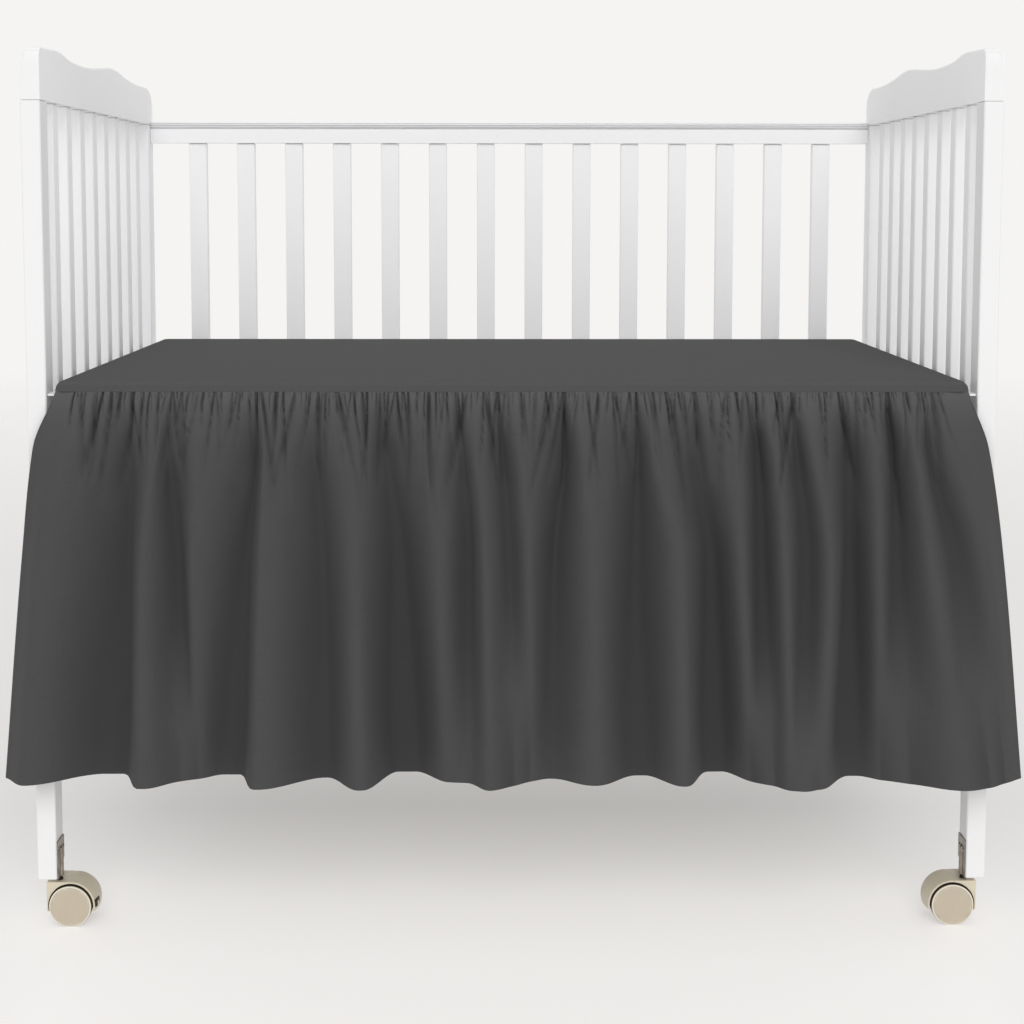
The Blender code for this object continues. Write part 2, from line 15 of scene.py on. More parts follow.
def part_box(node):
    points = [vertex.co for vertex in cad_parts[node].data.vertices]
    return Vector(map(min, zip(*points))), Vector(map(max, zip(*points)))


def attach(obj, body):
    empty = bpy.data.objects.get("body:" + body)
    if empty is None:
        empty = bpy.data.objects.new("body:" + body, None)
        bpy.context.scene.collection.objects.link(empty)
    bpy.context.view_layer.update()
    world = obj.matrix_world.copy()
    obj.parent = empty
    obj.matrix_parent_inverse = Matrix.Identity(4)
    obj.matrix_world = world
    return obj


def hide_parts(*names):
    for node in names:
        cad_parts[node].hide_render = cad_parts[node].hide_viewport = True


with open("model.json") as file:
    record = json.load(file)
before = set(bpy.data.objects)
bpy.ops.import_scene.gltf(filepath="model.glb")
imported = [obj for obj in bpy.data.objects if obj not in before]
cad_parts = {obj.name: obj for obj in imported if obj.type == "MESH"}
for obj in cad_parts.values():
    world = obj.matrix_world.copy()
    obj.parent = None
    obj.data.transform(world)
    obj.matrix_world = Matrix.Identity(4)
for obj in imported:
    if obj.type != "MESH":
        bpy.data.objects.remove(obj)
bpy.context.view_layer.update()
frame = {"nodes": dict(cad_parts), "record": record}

MM = 0.001
WELD = 0.005 * MM               # points nearer than this on a turned shape are one
UP = Vector((0, 0, 1))

# ---- Where things are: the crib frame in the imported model's frame ----
LEFT_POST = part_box("post_front_left")
RIGHT_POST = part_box("post_front_right")
BACK_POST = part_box("post_back_left")
CRIB = np.array(((LEFT_POST[0].x + RIGHT_POST[1].x) / 2, LEFT_POST[0].y, 0.0))
POST_OUTER = (RIGHT_POST[1].x - LEFT_POST[0].x) / 2
POST_INNER = (RIGHT_POST[0].x - LEFT_POST[1].x) / 2
POST_DEPTH = LEFT_POST[1].y - LEFT_POST[0].y
END_DEPTH = BACK_POST[1].y - LEFT_POST[0].y
POST_BOTTOM = LEFT_POST[0].z

# ---- Camera, at the photograph's place ----
CAMERA_PLACE = (-0.019, -2.409, 1.058)
CAMERA_PITCH = 4.87             # degrees down
CAMERA_YAW = 0.424              # degrees to the right
CAMERA_ROLL = 0.06
CAMERA_LENS = 59.66             # mm
CAMERA_SENSOR = 36              # mm, its width
CAMERA_SHIFT = -0.16
CAMERA_REACH = 60

# ---- Bed skirt, metres ----
CLOTH = 1.2 * MM
HEM_THICK = 2.6 * MM            # the hem is turned up twice behind the drop
HEM_DEPTH = 0.020
PLATFORM_TOP = 0.8067
PLATFORM_HALF_LENGTH = 0.648
PLATFORM_FRONT = -0.008
PLATFORM_BACK = 0.752
PLATFORM_CORNER = 0.014
PLATFORM_ROLL = 0.009
SEAM = 0.7915
HEM = 0.2385
TUCK = 0.0025                   # the drops' top edge is tucked up behind the platform's edge
STATIONS = np.array((SEAM, 0.710, 0.554, HEM))      # heights at which the front drop's folds are given

# The front drop's creases from left to right, millimetres. A ridge stands forward and a valley back.
# x at the seam, upper, middle and hem heights, then y at the upper, middle and hem heights.
FRONT_CREASES = (
    # (kind, x_seam, x_upper, x_middle, x_hem, y_upper, y_middle, y_hem)
    ("turned edge", -646, -679, -694, -719, -7, -9, -14),
    ("side edge", -645, -683, -700, -726, -10, -20, -36),
    ("ridge", -615, -640, -667, -690, -28, -44, -70),
    ("valley", -560, -545, -555, -588, -15, -18, -20),
    ("ridge", -510, -508, -521, -518, -28, -50, -84),
    ("valley", -484, -490, -478, -473, -18, -30, -54),
    ("ridge", -452, -440, -452, -448, -27, -42, -42),
    ("valley", -370, -365, -384, -415, -15, -25, -24),
    ("ridge", -343, -350, -354, -358, -27, -49, -88),
    ("valley", -288, -285, -271, -265, -19, -24, -38),
    ("ridge", -235, -222, -224, -216, -27, -53, -92),
    ("valley", -194, -181, -160, -145, -11, -13, -12),
    ("ridge", -104, -105, -102, -90, -28, -42, -58),
    ("valley", -80, -72, -62, -64, -21, -31, -62),
    ("ridge", -58, -50, -40, -33, -29, -54, -94),
    ("valley", -20, -14, -4, 2, -17, -38, -74),
    ("ridge", 0, 12, 22, 25, -28, -46, -56),
    ("valley", 70, 76, 60, 55, -9, -22, -44),
    ("ridge", 88, 98, 112, 115, -30, -54, -74),
    ("valley", 175, 181, 180, 190, -15, -18, -30),
    ("ridge", 193, 201, 234, 240, -30, -53, -78),
    ("valley", 258, 260, 289, 302, -16, -14, -14),
    ("ridge", 295, 315, 323, 341, -28, -38, -58),
    ("valley", 334, 350, 361, 370, -9, -22, -76),
    ("ridge", 355, 371, 383, 389, -29, -44, -96),
    ("valley", 396, 405, 424, 408, -17, -34, -100),
    ("ridge", 414, 425, 446, 428, -30, -51, -92),
    ("valley", 462, 482, 489, 495, -10, -16, -34),
    ("ridge", 495, 513, 519, 524, -28, -34, -50),
    ("valley", 530, 545, 555, 560, -11, -26, -68),
    ("ridge", 547, 571, 589, 635, -27, -47, -98),
    ("valley", 585, 592, 636, 674, -15, -40, -84),
    ("ridge", 605, 628, 668, 702, -22, -45, -64),
    ("side edge", 645, 680, 702, 729, -10, -23, -44),
    ("turned edge", 646, 676, 697, 723, -7, -9, -18),
)
STATION_RELIEF = ((0, 0), (0.008, 0.002), (0.012, 0.005), (0, 0))     # deeper valleys and prouder ridges
HEM_CURVES = 1.06               # the hem's length, of its length straight from crease to crease
MESH_BY_HEM = 0.62              # how much a fold's width at the hem counts in its share of the mesh
MESH_AT_EDGES = 2.2             # how much finer the mesh is at the drop's side edges
FRONT_COLUMNS = 1280
PINCH = 0.9                     # how sharply the valleys are pinched at the seam; not at all at the hem
PINCH_EASES = 1.4               # how soon below the seam that eases
PINCH_SHAPE = 1.8
PASSED_ON_SLOPE = 0.4           # slope at a crease, of the span's own step, from which it makes no fold
PLAIN_HANG = -4.6 * MM          # y of the plain hang, just clear of the posts' front faces
NEAR_POSTS = 0.60               # x past which no part of the drop lies behind its plain hang
BACKMOST = 0.016                # how far behind its plain hang a valley may lie, away from the posts,
BACKMOST_FROM = (0.02, 0.03)    # from how far below the seam, and over what length that grows
OUTER_FLANK = (0.12, 0.60)      # where an outer flank starts and ends, of its span, near the drop's ends
FLANK_FULL = (0.30, 0.45)       # x, and distance below the seam, from which that is fully so
STEEP_RIGHT = -0.216            # x at the hem of the one ridge left of the middle that is steep on its right

# Short creases under the front seam, millimetres: x at the seam and at the crease's end, its length,
# how far it draws the cloth back, and its width.
GATHER_CREASES = (
    # (x_seam, x_end, length, depth, width)
    (-619, -632, 65, 5.0, 3.5),
    (-581, -605, 130, 7.0, 4.0),
    (-556, -561, 55, 3.5, 3.0),
    (-537, -545, 125, 7.0, 3.5),
    (-515, -525, 105, 3.5, 3.0),
    (-484, -492, 135, 3.5, 4.0),
    (-460, -473, 100, 4.0, 4.0),
    (-439, -444, 65, 3.0, 4.0),
    (-424, -433, 135, 3.0, 4.0),
    (-386, -396, 80, 2.5, 3.0),
    (-363, -363, 110, 5.0, 4.0),
    (-335, -342, 72, 4.0, 3.5),
    (-325, -321, 150, 3.5, 4.0),
    (-287, -298, 100, 3.0, 4.0),
    (-265, -271, 135, 3.0, 4.0),
    (-251, -240, 108, 3.0, 3.5),
    (-226, -214, 122, 3.0, 3.5),
    (-206, -210, 165, 3.0, 4.0),
    (-176, -183, 110, 3.5, 4.0),
    (-164, -159, 94, 3.5, 3.5),
    (-155, -146, 55, 3.5, 3.0),
    (-125, -126, 94, 2.5, 4.0),
    (-109, -105, 66, 4.0, 3.0),
    (-94, -88, 110, 3.5, 4.0),
    (-79, -62, 110, 3.0, 4.0),
    (-42, -40, 136, 3.5, 4.0),
    (-34, -31, 108, 3.0, 2.5),
    (-21, -10, 115, 6.5, 3.5),
    (11, 20, 108, 3.0, 3.0),
    (46, 58, 80, 3.0, 3.5),
    (71, 80, 122, 7.5, 3.5),
    (105, 119, 150, 3.5, 4.0),
    (142, 146, 136, 3.5, 4.0),
    (175, 185, 138, 4.5, 3.5),
    (199, 210, 122, 3.0, 3.5),
    (216, 237, 150, 4.0, 4.0),
    (234, 242, 52, 3.5, 2.8),
    (257, 266, 138, 6.0, 3.5),
    (304, 307, 150, 2.5, 4.0),
    (317, 327, 80, 4.0, 3.0),
    (345, 350, 136, 6.0, 3.5),
    (372, 389, 115, 5.5, 3.5),
    (396, 409, 145, 4.5, 4.0),
    (443, 446, 136, 3.0, 4.0),
    (463, 482, 136, 6.0, 4.0),
    (503, 516, 73, 3.5, 3.5),
    (534, 551, 124, 5.0, 4.0),
    (560, 564, 45, 4.5, 2.8),
    (582, 604, 136, 3.0, 4.0),
    (604, 625, 94, 2.5, 4.0),
)
FRONT_GATHERS = (-0.620, 0.612)         # x between which the seam is gathered
GATHER_SEED = 11
GATHER_DEPTH = 1.4                      # how much deeper the table's creases are made,
GATHER_WIDTH = 0.62                     # how much narrower,
GATHER_LENGTH = (1.1, 1.4)              # and how much longer, the short ones and the long ones,
LONG_CREASE = 90                        # which are longer than this, millimetres
CORE_DEPTH = 5.0 * MM                   # a sharp line at the bottom of each of them
CORE_WIDTH = 1.1 * MM
CORE_LENGTH = 0.9                       # of the crease's length
# Creases of a kind: (spacing, lean, shortest and longest, shallowest and deepest, narrowest and widest)
PUCKERS = (3.6 * MM, 0.15, (0.007, 0.017), (2.8 * MM, 5.0 * MM), (0.5 * MM, 0.9 * MM))
SHORT_GATHERS = (11 * MM, 0.16, (0.025, 0.090), (4.0 * MM, 7.5 * MM), (0.8 * MM, 1.6 * MM))
OPENING_FOLDS = (23 * MM, 0.20, (0.110, 0.230), (6.0 * MM, 11.0 * MM), (2.6 * MM, 4.6 * MM))
LONG_GATHERS = (24 * MM, 0.09, (0.060, 0.150), (5.0 * MM, 11.0 * MM), (2.4 * MM, 3.8 * MM))
CREASE_APART = (0.6, 1.5)               # how near and how far the next one may be, in their spacing
CREASE_SMALLNESS = 1.5                  # above 1 there are more small ones than large ones
CREASES_OPEN = 1.4                      # how far below the seam a crease deepens, in its widths
CREASE_SWAY = (0.10, 9e3)               # how far a crease bends on its way down, and to which side by its x
CREASE_STEEP = (2.6, 0.8)               # how steep a crease is on its steep side and on the other
CREASE_SPREAD = (0.75, 0.9)             # its width at the seam, and how much it widens to its end
GATHERS_END = (0.645, 0.04)             # x at the seam where gathers end, and over what length they fade
SEAM_LIGHT_REACH = 0.035                       # how far below the seam the cloth gets painted light that lifts its shade; the painted shade in its folds grows over the same length
RELIEF_SHOWN = (0.45, 0.5, 0.6)         # share of a valley's relief that counts towards its painted shade at the seam, growth, most
FULL_RELIEF = 0.012                     # depths of a valley and of a gather at which their painted shade is full
FULL_GATHER = 0.010
SEAM_FLARE = 1.8 * MM                   # how far the platform's turned-down edge flares out at the seam
PUFF = 6.0 * MM                         # how far gathered cloth swells out just under the seam
PUFF_LENGTH = 0.007
PUFF_FADES = 0.12                       # how far below the seam the swelling dies away
CORNER_FULL = 5.5 * MM                  # how far the front drop swells out sideways at its top corners
CORNER_FROM = (0.58, 0.065)             # x at the seam where that starts, and over what length it grows
CORNER_REACH = 0.035                    # how far from the corner it reaches
CORNER_STITCHED = (0.3, 0.004)          # how much of it the seam holds back, and how far below the seam
SLACK = 1.3 * MM                        # small unevenness of hanging cloth
SLACK_GROWS = 0.05
SLACK_SEED = 3.1
DIMPLE = 5.5 * MM                       # hollows where the gathers open out, strongest at this depth
DIMPLE_DEPTH = 0.10
DIMPLE_REACH = 0.07
DIMPLE_SEED = 8.2
TUCKED_BACK = 1.5 * MM                  # how far behind the seam the tucked-up edge lies

# Rows of a drop's mesh: (the finest columns taken as one, first step, growth of the steps, down to)
DROP_ROWS = ((1, 0.0010, 1.16, 0.026), (2, 0.0050, 1.05, 0.120), (4, 0.0110, 1.0, 0.520))
HEM_ROWS = (HEM_DEPTH + 0.0012, HEM_DEPTH, HEM_DEPTH - 0.0012, 0.012, 0.005, 0.0012, 0.0)   # above its edge

# The platform's mesh: columns and rows of its flat field, and steps round a corner and over the roll
PLATFORM_MESH = (130, 76)
CORNER_STEPS = 6
ROLL_STEPS = 6
FIELD_SINK = 0.55 * MM                  # how far the field lies below the platform's top
WRINKLE = 0.5 * MM
RIM_WIDTH = 0.03                        # over what width the wrinkles die out and the cloth rises
RIM_RISE = 0.4 * MM
RIM_SWELL = 0.35 * MM
RIM_CORNER = 0.75                       # how much the rim's corners share of the drop's swelling
# Painted light on the rim: how much a painted highlight lightens it where the roll starts, and how much
# painted shade takes back of that where it turns down, and the turns of its roll between which each grows,
# radians
RIM_PAINTED_HIGHLIGHT = (0.55, 0.0, 0.35)
RIM_PAINTED_SHADE = (0.28, 0.7, 1.5)

# Hidden drops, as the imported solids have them
SIDE_DROP = (0.047, 0.733)              # y where it starts and ends
BACK_DROP_HALF = 0.626
SIDE_FOLDS = 6
BACK_FOLDS = 10
HIDDEN_FULLNESS = 1.22                  # flat width, of the seam's length
HIDDEN_BULGE = 6 * MM                   # how far a fold's ridge stands out
HIDDEN_DEPTH = 30 * MM                  # how far its valley falls back at the hem
HIDDEN_SWAY = 0.16                      # how uneven the folds are, in folds,
HIDDEN_DRIFT = 0.77                     # and at what rate that changes along the seam
HIDDEN_SWELL = 0.25                     # share of the drop's height over which the ridges form
HIDDEN_FREE = 0.01                      # how far from its ends the first gathers are,
HIDDEN_ENDS = 0.02                      # and over what length from its ends they grow

# ---- Woodwork ----
# The caps' top line, millimetres: back from the posts' front face, height above the cap's bottom
CAP_PROFILE = (
    (0, 61), (0.9, 66), (3.4, 70.3), (7.2, 72.9), (12, 73.8), (30, 74.4), (65, 75.6), (100, 77), (128, 75.4),
    (165, 70), (220, 67), (290, 67), (350, 71), (410, 76), (460, 79), (500, 77), (545, 72), (590, 68),
    (640, 65.5), (700, 65), (735, 65), (752, 61), (766, 54), (775, 44), (780, 30),
)
CAP_LENGTH = 780
CAP_STEPS = 6                           # steps from one point of the profile to the next
CAP_ENDS = (25, 14)                     # heights where the top line starts at the front and ends at the back
# The inner and the outer edge, millimetres: radius at the cap's ends, how much rounder on top, steps
CAP_EDGES = ((1.0, 1.5, 3), (1.2, 8, 7))
CAP_ON_TOP = (36, 60)                   # heights between which the edges grow rounder
CAP_FRONT = -0.75                       # y of the normals past which a face of the cap is its front, which gets the duller copy of the white paint, painted shade
SHARP_EDGE = 40                         # degrees, from which an edge is shaded sharp
# The back rail's section, millimetres: forward of the slats' front face, height above its bottom
RAIL_SECTION = (
    (-16, 0), (4, 0), (4, 25.7), (0.8, 26.0), (0.8, 27.3), (4, 27.6), (5.4, 28.4), (6.9, 29.6), (7.8, 31.0),
    (7.8, 31.6), (3.6, 31.9), (3.6, 33.2), (7.9, 33.4), (8, 34.3), (7.6, 35.0), (3.4, 35.2), (3.4, 36.5),
    (6.8, 36.8), (6.4, 38.2), (5, 39), (-16, 39),
)
RAIL_FORWARD = 8 * MM                   # how far the mouldings stand forward of the slats' front face

# ---- Casters, metres ----
WHEEL_MIDDLE = 0.0304                   # height of the axle: the wheels stand on a small worn flat
WHEEL_INBOARD = 0.031                   # wheel's middle from the post's middle
WHEEL_FRONT = 0.003                     # front wheel's face behind the post's face
CASTER_DEPTH = 0.054                    # over both wheels
WHEEL_PROFILE = (
    # (radius, depth behind the face), millimetres
    (0.0, 0.45), (25.8, 0.45), (26.3, 0.55), (26.6, 0.95), (27.2, 0.95), (27.5, 0.45), (28.0, 0.1),
    (28.7, 0.0), (29.3, 0.12), (30.1, 0.55), (30.7, 1.3), (31.0, 2.4), (31.0, 13.2), (30.6, 14.6),
    (29.6, 15.4), (0.0, 15.5),
)
WHEEL_STEPS = 72
WHEEL_PAINTED_SHADE = (30.9, 2.0)               # radius and depth past which the wheel gets painted shade, in the gap under the hood, millimetres
WHEEL_PAINTED_HIGHLIGHT = (28.9, 30.3, 1.0)        # radii between which the bead gets a painted highlight, down to this depth
AXLE_RADIUS = 4 * MM
ROUND_STEPS = 24                        # steps round the axle and the stem
ARC_STEPS = 40                          # steps over the hood and its web
AXLE_INSET = 2 * MM                     # from the wheels' faces
HOOD_TOP = 0.066
HOOD_LOW = 0.022
HOOD_RIM_RADIUS = 0.0358                # outside of the hood near its rims; its middle swells past this
HOOD_INSIDE = 0.0327
HOOD_FLAT = 0.035                       # outboard flat from the wheel's middle
HOOD_CORNER = 1.6 * MM                  # rounding of its square outboard corner
# The hood's wall from a rim to its middle, millimetres: depth behind the rim, how much less its outside
# radius is, and how much more its inside radius
HOOD_SECTION = (
    (0.0, 1.5, 0.5), (0.25, 0.8, 0.15), (0.8, 0.3, 0.0), (1.8, 0.0, 0.0),
    (5.0, -0.5, 0.0), (10.0, -1.2, 0.0), (16.0, -1.9, 0.0), (22.5, -2.2, 0.0),
)
BRIM_INSET = 4.5 * MM                   # the hood's rim stands back from the wheel's face
WEB_HALF = 10.3 * MM
STEM_RADIUS = 4 * MM
STEM_BACK = 0.0195                      # stem's middle behind the post's face
STEM_COLLAR = 0.8 * MM                  # how much wider the stem's collar is
STEM_INBOARD = 0.8 * MM                 # stem's middle from the post's inner face
PLATE_THICK = 1.5 * MM
PLATE_TOP = 0.1285
PLATE_GAP = 0.3 * MM                    # how far the plate's back lies inside the post's face
BRACKET_LOW = 0.0728
# The plate's outline: (behind the post's front face, up)
BRACKET_OUTLINE = (
    (0.001, BRACKET_LOW), (0.026, BRACKET_LOW), (0.026, 0.0865), (0.0375, 0.0945),
    (0.038, PLATE_TOP - 1.5 * MM), (0.0365, PLATE_TOP), (0.0025, PLATE_TOP), (0.001, PLATE_TOP - 1.5 * MM),
)
CHANNEL_TOP = 0.117
CHANNEL_HALF = 5.2 * MM
CHANNEL_PROUD = 3.6 * MM
CHANNEL_END = 5 * MM                    # length of the quarter round that closes its top
CHANNEL_LEAST = (0.05, 0.3)             # the least share of its height and width that it keeps there
CHANNEL_STEPS = 12
CHANNEL_END_STEPS = 4
SUNK_IN_PLATE = 0.3 * MM                # how far the channel's feet are sunk in the plate
BRACKET_SCREWS = ((0.0085, 0.112), (0.031, 0.112))
# A screw's head, millimetres: (radius, height)
SCREW_HEAD = ((0.0, 1.5), (1.6, 1.45), (3.0, 1.05), (3.7, 0.3), (3.8, 0.0))
# The brake's slot and tab from the wheel's middle: (inboard, up), and the depths between which they lie
BRAKE_SLOT = (
    (0.0330, -0.0020), (0.0380, -0.0020), (0.0385, -0.0006), (0.0380, 0.0068), (0.0372, 0.0082),
    (0.0330, 0.0082),
)
BRAKE_SLOT_DEPTHS = (-21.5 * MM, -3 * MM)
BRAKE_TAB = (
    (0.0335, -0.0055), (0.0390, -0.0055), (0.0398, -0.0040), (0.0392, 0.0025), (0.0384, 0.0042),
    (0.0335, 0.0046),
)
BRAKE_TAB_DEPTHS = (-15.5 * MM, -9 * MM)

# ---- Colours, linear ----
CHARCOAL = (0.070, 0.070, 0.0715, 1)
CHARCOAL_DEEP = (0.056, 0.056, 0.0575, 1)
RUBBED_CHARCOAL = (0.084, 0.084, 0.085, 1)
# painted light: the paler charcoal under the front seam and on the platform's roll and strip
CHARCOAL_PAINTED_LIGHT = (0.102, 0.102, 0.103, 1)
# painted shade: the darker charcoal in the front drop's valleys and gathers
CHARCOAL_PAINTED_SHADE = (0.044, 0.044, 0.046, 1)
# the crib's white paint comes in two copies: this brighter one lifts the slats and caps that get less light,
# painted light; the duller one below is painted shade
WHITE_PAINT = (0.95, 0.95, 0.965, 1)
WORN_PAINT = (0.88, 0.875, 0.87, 1)
POST_PAINTED_SHADE = (0.82, 0.82, 0.825, 1)     # painted shade: a duller copy of the white paint for the front posts and the caps' front faces, which face the light
WORN_POST_PAINTED_SHADE = (0.76, 0.755, 0.75, 1)
BOARD = (0.78, 0.77, 0.74, 1)
WORN_BOARD = (0.66, 0.64, 0.60, 1)
BEIGE_PLASTIC = (0.515, 0.45, 0.35, 1)
BEIGE_SHADE = (0.46, 0.40, 0.31, 1)
# painted light: a paler copy of the beige plastic, which lightens the hood's top
HOOD_PLASTIC_PAINTED_LIGHT = (0.66, 0.595, 0.46, 1)
IVORY_PLASTIC = (0.70, 0.64, 0.54, 1)
# pale plastic of worn edges, also a painted highlight on rims and on the wheels' beads
PLASTIC_WORN_AND_HIGHLIGHT = (0.90, 0.85, 0.75, 1)
# painted shade: near black in the gap between the wheels and the hood
GAP_PAINTED_SHADE = (0.035, 0.030, 0.024, 1)
BRACKET_STEEL = (0.40, 0.365, 0.32, 1)
STAINED_STEEL = (0.25, 0.22, 0.18, 1)
# painted shade along the steel's edges, and the darker stains of the blackened steel
STEEL_EDGE_SHADE_AND_STAIN = (0.05, 0.042, 0.035, 1)
DARK_STEEL = (0.06, 0.053, 0.046, 1)
FLOOR_COLOUR = (0.50, 0.505, 0.51, 1)
FLOOR_CLOUD = (0.49, 0.49, 0.495, 1)
# painted light: the floor's glow, strongest in a pool by the crib
FLOOR_GLOW = (0.390, 0.375, 0.362, 1)
STUDIO = (0.913, 0.905, 0.890, 1)
DOME = (1, 0.995, 0.99, 1)

# ---- Studio floor and light ----
FLOOR_HALF = 9
FLOOR_POOL = (-0.27, 0.15)              # y where the floor is at its palest, and where its pool of light ends
FLOOR_POOL_SIDES = (0.62, 0.90)         # x where the pool starts to fade, and where it is down to this share:
FLOOR_POOL_LEFT = 0.45
FLOOR_GLOW_RANGE = (0.87, 1.33)
FLOOR_FADES = (2.6, 8.5)                # distances between which the floor fades into the studio's tone
DOME_LOW = 0.95                         # the dome's strength at the horizon, and overhead
DOME_HIGH = 0.53
KEY_FROM = (0.06, -0.82, 0.57)          # direction to the key light
KEY_DISTANCE = 3.5
KEY_SPREAD = 34                         # degrees across
KEY_STRENGTH = 1.05


# ---- Small helpers ----

def crib(x, y, z):
    """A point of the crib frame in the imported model's frame."""
    return Vector((x + CRIB[0], y + CRIB[1], z))


def s_curve(t):
    """A smooth rise from 0 to 1, for t from 0 to 1."""
    return t * t * (3 - 2 * t)


def eased(value, low, high):
    """0 below low, 1 above high, and smooth in between."""
    return s_curve(min(1.0, max(0.0, (value - low) / (high - low))))


def add_piece(name, mesh, look, nodes=()):
    """Puts a mesh in the scene as a piece that goes with the crib, in place of the solids that it dresses."""
    slot, material = LOOKS[look]
    obj = bpy.data.objects.new(name, mesh)
    bpy.context.scene.collection.objects.link(obj)
    mesh.materials.clear()
    mesh.materials.append(material)
    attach(obj, "root")
    if nodes:
        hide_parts(*nodes)
    return obj


def mesh_from(name, points, faces, smooth=True):
    """A mesh of points and faces, shaded smooth or flat."""
    mesh = bpy.data.meshes.new(name)
    mesh.from_pydata([tuple(point) for point in points], [], [tuple(face) for face in faces])
    mesh.update()
    for polygon in mesh.polygons:
        polygon.use_smooth = smooth
    return mesh


def grid_faces(rows, columns):
    """The quads between rows of points that all have the same number of columns."""
    return [
        (a, a + 1, a + columns + 1, a + columns)
        for row in range(rows - 1)
        for a in range(row * columns, (row + 1) * columns - 1)
    ]


def face_outwards(mesh, weld=0.0, sharp=None, upwards=False):
    """Turns a mesh's faces outwards. It can also weld points that lie nearer than weld, mark edges over
    sharp degrees as sharp, and turn an open sheet's faces up."""
    shape = bmesh.new()
    shape.from_mesh(mesh)
    if weld:
        bmesh.ops.remove_doubles(shape, verts=shape.verts, dist=weld)
    bmesh.ops.recalc_face_normals(shape, faces=shape.faces)
    if upwards and sum(face.normal.z for face in shape.faces) < 0:
        bmesh.ops.reverse_faces(shape, faces=shape.faces)
    if sharp is not None:
        for edge in shape.edges:
            if len(edge.link_faces) == 2 and edge.calc_face_angle(0) > math.radians(sharp):
                edge.smooth = False
    shape.to_mesh(mesh)
    shape.free()
    return mesh


def prism(name, outline, low, high, place_point):
    """An outline of (u, w) between two depths, its points put in place by place_point(u, depth, w)."""
    count = len(outline)
    points = [place_point(u, depth, w) for depth in (low, high) for u, w in outline]
    faces = [(i, (i + 1) % count, count + (i + 1) % count, count + i) for i in range(count)]
    faces += [range(count - 1, -1, -1), range(count, 2 * count)]
    return face_outwards(mesh_from(name, points, faces, smooth=False))


def turned_mesh(name, profile, centre, turn, steps):
    """Turns a profile of (radius, height) about the axis that the matrix turns +Z into."""
    points, faces = [], []
    count = len(profile)
    for i in range(steps):
        angle = 2 * math.pi * i / steps
        for radius, height in profile:
            point = Vector((radius * math.cos(angle), radius * math.sin(angle), height))
            points.append(turn @ point + centre)
        here, there = i * count, (i + 1) % steps * count
        for j in range(count - 1):
            faces.append((here + j, there + j, there + j + 1, here + j + 1))
    return face_outwards(mesh_from(name, points, faces), weld=WELD)


def joined(name, meshes):
    """Several meshes as one."""
    shape = bmesh.new()
    for mesh in meshes:
        shape.from_mesh(mesh)
    whole = bpy.data.meshes.new(name)
    shape.to_mesh(whole)
    shape.free()
    for mesh in meshes:
        bpy.data.meshes.remove(mesh)
    return whole


def round_edges(obj, width, segments, angle):
    """Rounds the edges over an angle in degrees, and shades the piece evenly."""
    bevel = obj.modifiers.new("Rounded edges", "BEVEL")
    bevel.width = width
    bevel.segments = segments
    bevel.limit_method = "ANGLE"
    bevel.angle_limit = math.radians(angle)
    bevel.harden_normals = False
    for polygon in obj.data.polygons:
        polygon.use_smooth = True
    shade_evenly(obj)


def shade_evenly(obj):
    """Lets large faces lead the shading of the rounded edges beside them."""
    obj.modifiers.new("Even shading", "WEIGHTED_NORMAL").keep_sharp = True


def mark(mesh, label, values):
    """Gives each point of a mesh a value that a finish can read."""
    mesh.attributes.new(label, "FLOAT", "POINT").data.foreach_set("value", values)


# ---- Effects that several finishes share ----

class Wiring:
    """Adds nodes to a material or a group and joins them up."""

    def __init__(self, tree):
        """Wiring for one node tree."""
        self.tree = tree

    def add(self, kind, **settings):
        """A new node with its settings."""
        node = self.tree.nodes.new(kind)
        for name, value in settings.items():
            setattr(node, name, value)
        return node

    def join(self, output, place):
        """Joins an output to a socket."""
        self.tree.links.new(output, place)

    def give(self, place, value):
        """Joins an output to a socket, or sets the socket to a plain value."""
        if isinstance(value, bpy.types.NodeSocket):
            self.join(value, place)
        else:
            place.default_value = value

    def math(self, operation, *values):
        """One operation on values or outputs."""
        node = self.add("ShaderNodeMath", operation=operation)
        for place, value in zip(node.inputs, values):
            self.give(place, value)
        return node.outputs[0]

    def times(self, first, second):
        """The product of two values."""
        return self.math("MULTIPLY", first, second)

    def mixed(self, factor, first, second):
        """The first colour turning into the second as the factor grows."""
        node = self.add("ShaderNodeMix", data_type="RGBA")
        for label, value in (("Factor", factor), ("A", first), ("B", second)):
            self.give(node.inputs[label], value)
        return node.outputs["Result"]

    def noise(self, vector, scale, detail=2.0, roughness=0.5):
        """Noise at a vector, about 0.5."""
        node = self.add("ShaderNodeTexNoise")
        for label, value in (
            ("Vector", vector), ("Scale", scale), ("Detail", detail), ("Roughness", roughness)
        ):
            self.give(node.inputs[label], value)
        return node.outputs["Fac"]

    def stretched(self, vector, scale):
        """A vector with its axes scaled one by one."""
        node = self.add("ShaderNodeMapping")
        self.give(node.inputs["Vector"], vector)
        self.give(node.inputs["Scale"], scale)
        return node.outputs["Vector"]

    def ranged(self, value, low, high, to_low=0.0, to_high=1.0):
        """A value from one range put in another, and held within it."""
        node = self.add("ShaderNodeMapRange")
        for label, number in (
            ("Value", value), ("From Min", low), ("From Max", high), ("To Min", to_low), ("To Max", to_high)
        ):
            self.give(node.inputs[label], number)
        return node.outputs["Result"]

    def bumped(self, height, distance, strength, normal=None):
        """A normal tilted by a height, on top of another normal if there is one."""
        node = self.add("ShaderNodeBump")
        for label, value in (("Height", height), ("Distance", distance), ("Strength", strength)):
            self.give(node.inputs[label], value)
        if normal is not None:
            self.join(normal, node.inputs["Normal"])
        return node.outputs["Normal"]

    def marked(self, label):
        """The value that each point of the mesh was given under a label."""
        return self.add("ShaderNodeAttribute", attribute_name=label).outputs["Fac"]


